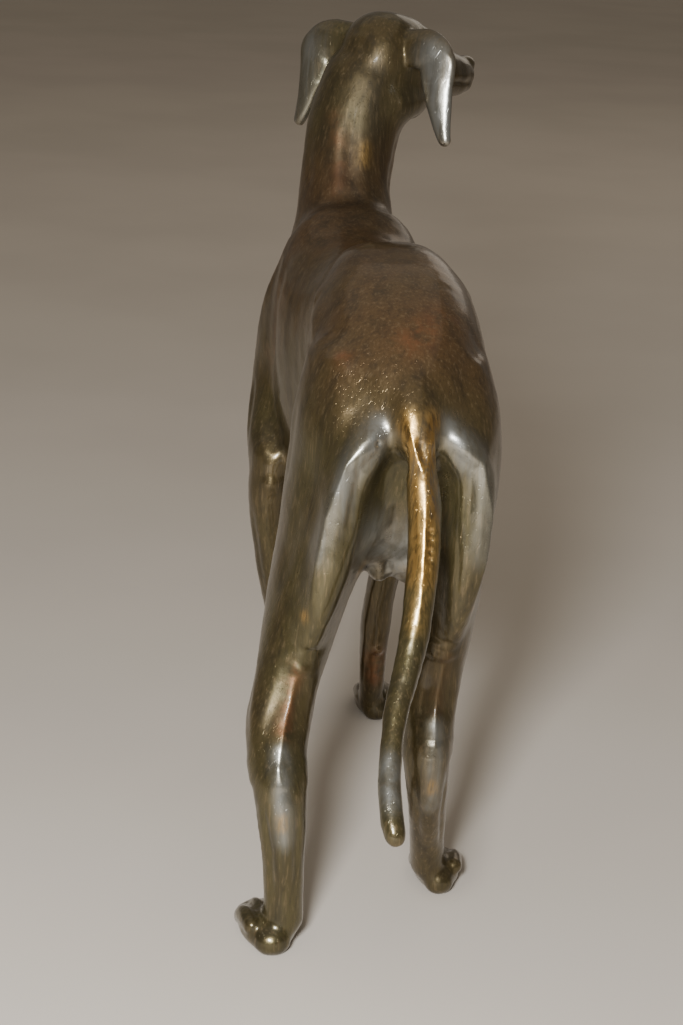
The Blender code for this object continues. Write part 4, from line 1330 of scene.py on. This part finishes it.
@dataclass
class Hound:
    """The whole greyhound, cast in one piece."""

    forms: list[Form]
    finish: PatinatedBronze = PatinatedBronze()
    broad_grain: float = 0.0072
    fine_grain: float = 0.0030
    most_triangles: int = 192000
    crease_passes: int = 60
    crease_levels: Point = (0.07, 0.12, 1.12, 1.20)
    crease_softness: Point = (0.02, 0.50, 0.50, 0.12)
    toe_passes: int = 16
    toe_levels: Point = (0.075, 0.10)
    toe_softness: Point = (0.70, 0.20)
    even_passes: int = 6
    last_passes: int = 2
    ripples: Rows = ((0.0009, 0.085), (0.0004, 0.030))
    sole_cut: float = 0.004
    bend_spreads: tuple[int, int] = (2, 14)
    worn_by: Rows = ((0.65, 22.0, 110.0), (0.50, 18.0, 60.0))
    hollow_by: Rows = ((0.80, 8.0, 70.0), (0.70, 5.0, 34.0))
    thing: bpy.types.Object | None = field(default=None)

    @classmethod
    def standing(cls) -> "Hound":
        """The hound with all its parts in their places."""
        head = Head()
        forms: list[Form] = [Trunk(), Neck(), Tail(), head]
        for side in Side:
            forms += [Shoulder(side), Foreleg.standing(side), HindLeg.standing(side), Ear(head, side)]
        forms += [
            Paw((-0.091, 0.328), -2.0, 0.132, 1.00),
            Paw((0.096, 0.326), 8.0, 0.132, 0.95),
            Paw((-0.191, -0.542), -4.0, 0.132, 1.00),
            Paw((0.105, -0.362), 3.0, 0.116, 0.86),
        ]
        return cls(forms)

    def fuse(self, surfaces: list[Surface], grain: float) -> bpy.types.Mesh:
        """Fuse overlapping closed surfaces into one skin.

        Args:
            surfaces: the surfaces.
            grain: the size of the remesh's voxels.

        Returns:
            The fused mesh.
        """
        offsets = np.cumsum([0] + [len(s.points) for s in surfaces])
        faces = [[int(start) + i for i in face] for s, start in zip(surfaces, offsets) for face in s.faces]
        mesh = bpy.data.meshes.new("masses")
        mesh.from_pydata(np.vstack([s.points for s in surfaces]).tolist(), [], faces)
        work = bmesh.new()
        work.from_mesh(mesh)
        bmesh.ops.recalc_face_normals(work, faces=work.faces)
        work.to_mesh(mesh)
        work.free()
        thing = bpy.data.objects.new("masses", mesh)
        bpy.context.scene.collection.objects.link(thing)
        remesh = thing.modifiers.new("fuse", "REMESH")
        remesh.mode = "VOXEL"
        remesh.voxel_size = grain
        fused = bpy.data.meshes.new_from_object(thing.evaluated_get(bpy.context.evaluated_depsgraph_get()))
        bpy.data.objects.remove(thing)
        return fused

    def thinned(self, mesh: bpy.types.Mesh) -> bpy.types.Mesh:
        """The mesh with no more triangles than it may have, taken from where it is flattest."""
        mesh.calc_loop_triangles()
        count = len(mesh.loop_triangles)
        if count <= self.most_triangles:
            return mesh
        thing = bpy.data.objects.new("thinned", mesh)
        bpy.context.scene.collection.objects.link(thing)
        thin = thing.modifiers.new("thin", "DECIMATE")
        thin.ratio = self.most_triangles / count
        made = bpy.data.meshes.new_from_object(thing.evaluated_get(bpy.context.evaluated_depsgraph_get()))
        bpy.data.objects.remove(thing)
        return made

    def cut_soles(self, mesh: bpy.types.Mesh) -> None:
        """Cut the paws off flat at the sole and close them."""
        work = bmesh.new()
        work.from_mesh(mesh)
        everything = work.verts[:] + work.edges[:] + work.faces[:]
        plane = (0.0, 0.0, self.sole_cut)
        cut = bmesh.ops.bisect_plane(work, geom=everything, dist=1e-6, plane_co=plane, plane_no=(0, 0, 1),
                                     clear_inner=True)
        rim = [item for item in cut["geom_cut"] if isinstance(item, bmesh.types.BMEdge)]
        bmesh.ops.holes_fill(work, edges=rim)
        bmesh.ops.triangulate(work, faces=work.faces)
        bmesh.ops.dissolve_degenerate(work, dist=1e-5, edges=work.edges)
        bmesh.ops.recalc_face_normals(work, faces=work.faces)
        work.to_mesh(mesh)
        work.free()

    def weather(self, skin: Skin) -> None:
        """Keep in the skin where it is worn and hollow, where the patina is stained, and where a highlight or
        a reflection is painted.
        """
        bends = [skin.bend(spread) for spread in self.bend_spreads]
        for mark, rows, way in ((Mark.WORN, self.worn_by, 1), (Mark.HOLLOW, self.hollow_by, -1)):
            skin.keep(mark, sum(share * ramp(way * b, low, high)
                                for b, (share, low, high) in zip(bends, rows)))
        normals = skin.normals()
        stains = [stain for form in self.forms for stain in form.stains()]
        for mark in (Mark.GOLD, Mark.RUST, Mark.SILVER, Mark.DULL):
            values = np.zeros(len(skin.points))
            for stain in stains:
                if stain.mark is mark:
                    chosen, near = skin.nearness(stain.line, stain.radius, 0.0, normals)
                    here = stain.strength * np.exp(-(near[:, 0] ** 2)) * near[:, 1]
                    values[chosen] = np.maximum(values[chosen], here)
            skin.keep(mark, values)

    def build(self) -> bpy.types.Object:
        """Fuse the masses, work in the relief, cut the soles and dress the cast.

        Returns:
            The hound in metres, its origin in the middle of the underside of its box.
        """
        fine_grain = self.fine_grain
        mesh = self.fuse([loft.surface() for form in self.forms for loft in form.broad()], self.broad_grain)
        skin = Skin(mesh)
        skin.fill_creases(self.crease_passes, self.crease_levels, self.crease_softness)
        skin.soften(self.even_passes)
        skin.write()
        log.info("broad masses fused: %d points", len(skin.points))

        faces = [list(face.vertices) for face in mesh.polygons]
        surfaces = [Surface(skin.points, faces)]
        surfaces += [loft.surface() for form in self.forms for loft in form.fine()]
        mesh = self.fuse(surfaces, fine_grain)
        skin = Skin(mesh)
        skin.fill_creases(self.toe_passes, self.toe_levels, self.toe_softness)
        skin.soften(self.even_passes)
        strokes = [stroke for form in self.forms for stroke in form.strokes()]
        skin.work_in(strokes)
        skin.soften(self.last_passes)
        for height, length in self.ripples:
            skin.ripple(height, length)
        log.info("relief worked in: %d points, %d strokes", len(skin.points), len(strokes))

        mesh = self.thinned(mesh)
        self.cut_soles(mesh)
        skin = Skin(mesh)
        self.weather(skin)
        skin.points = (skin.points - np.array(BOX_MIDDLE)) * WITHERS
        skin.write()
        mesh.name = "greyhound-skin"
        mesh.materials.clear()
        mesh.materials.append(self.finish.material())
        mesh.shade_smooth()
        self.thing = bpy.data.objects.new("greyhound_skin", mesh)
        bpy.context.scene.collection.objects.link(self.thing)
        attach(self.thing, "root")
        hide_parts("greyhound")
        log.info("greyhound built: %d triangles", len(mesh.polygons))
        return self.thing


@dataclass(frozen=True)
class Lamp:
    """A soft light: a glowing ball of a radius, or a square of a side length that faces down."""

    name: str
    place: Point
    size: float
    power: float
    colour: Point
    overhead: bool = False

    def hang(self) -> None:
        """Put it into the scene."""
        data = bpy.data.lights.new(self.name, "AREA" if self.overhead else "POINT")
        data.energy, data.color = self.power, self.colour
        if self.overhead:
            data.size = self.size
        else:
            data.shadow_soft_size = self.size
        thing = bpy.data.objects.new(self.name, data)
        thing.location = self.place
        bpy.context.scene.collection.objects.link(thing)


@dataclass(frozen=True)
class Studio:
    """Pale floor, soft lights and the camera, whose own place is in shares of the withers height."""

    camera_place: Point = (-0.50, -3.28, 1.67)
    yaw: float = -8.0
    pitch: float = 18.7
    roll: float = 2.8
    focal_pixels: float = 2000.0
    long_side_pixels: float = 1025.0
    flash_offset: Point = (-0.45, 0.32)
    glow: Point = (0.82, 0.72, 0.60, 1.0)
    glow_strength: float = 0.22
    floor_half: float = 12.0
    floor_points: int = 9
    floor_finish: PalePlaster = PalePlaster()

    def axes(self) -> tuple[np.ndarray, np.ndarray, np.ndarray]:
        """The camera's ways to the image's right, to its top and into the scene."""
        yaw, pitch, roll = radians(self.yaw), radians(self.pitch), radians(self.roll)
        ahead = np.array([-sin(yaw) * cos(pitch), cos(yaw) * cos(pitch), -sin(pitch)])
        right = np.array([cos(yaw), sin(yaw), 0.0])
        up = np.cross(right, ahead)
        return cos(roll) * right + sin(roll) * up, cos(roll) * up - sin(roll) * right, ahead

    def in_metres(self, place: np.ndarray) -> np.ndarray:
        """A place of the body in the scene."""
        return (np.asarray(place, float) - np.array(BOX_MIDDLE)) * WITHERS

    def camera(self) -> bpy.types.Object:
        """The camera at the photograph's viewing angle."""
        right, up, ahead = self.axes()
        data = bpy.data.cameras.new("camera")
        data.sensor_width = 36.0
        data.lens = self.focal_pixels * data.sensor_width / self.long_side_pixels
        data.clip_start, data.clip_end = 0.02, 100.0
        thing = bpy.data.objects.new("camera", data)
        turn = Matrix((right, up, -ahead)).transposed()
        thing.matrix_world = Matrix.Translation(Vector(self.in_metres(self.camera_place))) @ turn.to_4x4()
        bpy.context.scene.collection.objects.link(thing)
        bpy.context.scene.camera = thing
        return thing

    def lights(self) -> None:
        """A key light beside the camera, a weak one in front, a wide one overhead and the room's glow."""
        right, up, _ = self.axes()
        key = np.array(self.camera_place) + self.flash_offset[0] * right + self.flash_offset[1] * up
        Lamp("key light", tuple(self.in_metres(key)), 0.09, 66.0, (0.97, 0.98, 1.0)).hang()
        Lamp("front light", (1.1, 1.9, 1.1), 0.55, 8.0, (1.0, 0.90, 0.78)).hang()
        Lamp("overhead light", (-0.5, 0.3, 1.9), 3.0, 7.0, (1.0, 0.92, 0.82), overhead=True).hang()
        world = bpy.data.worlds.new("studio")
        world.use_nodes = True
        world.node_tree.nodes["Background"].inputs["Color"].default_value = self.glow
        world.node_tree.nodes["Background"].inputs["Strength"].default_value = self.glow_strength
        bpy.context.scene.world = world

    def floor(self) -> bpy.types.Object:
        """A flat pale floor at the height of the soles: a grid of points x, y with z = 0."""
        count = self.floor_points
        line = np.linspace(-self.floor_half, self.floor_half, count)
        x, y = np.meshgrid(line, line, indexing="ij")
        points = np.stack([x.ravel(), y.ravel(), np.zeros(x.size)], 1)
        i, j = np.meshgrid(np.arange(count - 1), np.arange(count - 1), indexing="ij")
        corner = (i * count + j).ravel()
        faces = np.stack([corner, corner + count, corner + count + 1, corner + 1], 1)
        mesh = bpy.data.meshes.new("floor")
        mesh.from_pydata(points.tolist(), [], faces.tolist())
        mesh.materials.append(self.floor_finish.material())
        thing = bpy.data.objects.new("floor", mesh)
        bpy.context.scene.collection.objects.link(thing)
        return thing

    def build(self) -> None:
        """Set up the floor, the lights and the camera."""
        self.floor()
        self.lights()
        self.camera()
        log.info("studio set up")


def main() -> None:
    """Load the frame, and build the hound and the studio."""
    logging.basicConfig(level=logging.INFO, format="%(name)s: %(message)s")
    for thing in list(bpy.data.objects):
        bpy.data.objects.remove(thing, do_unlink=True)
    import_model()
    Hound.standing().build()
    Studio().build()


if __name__ == "__main__":
    main()
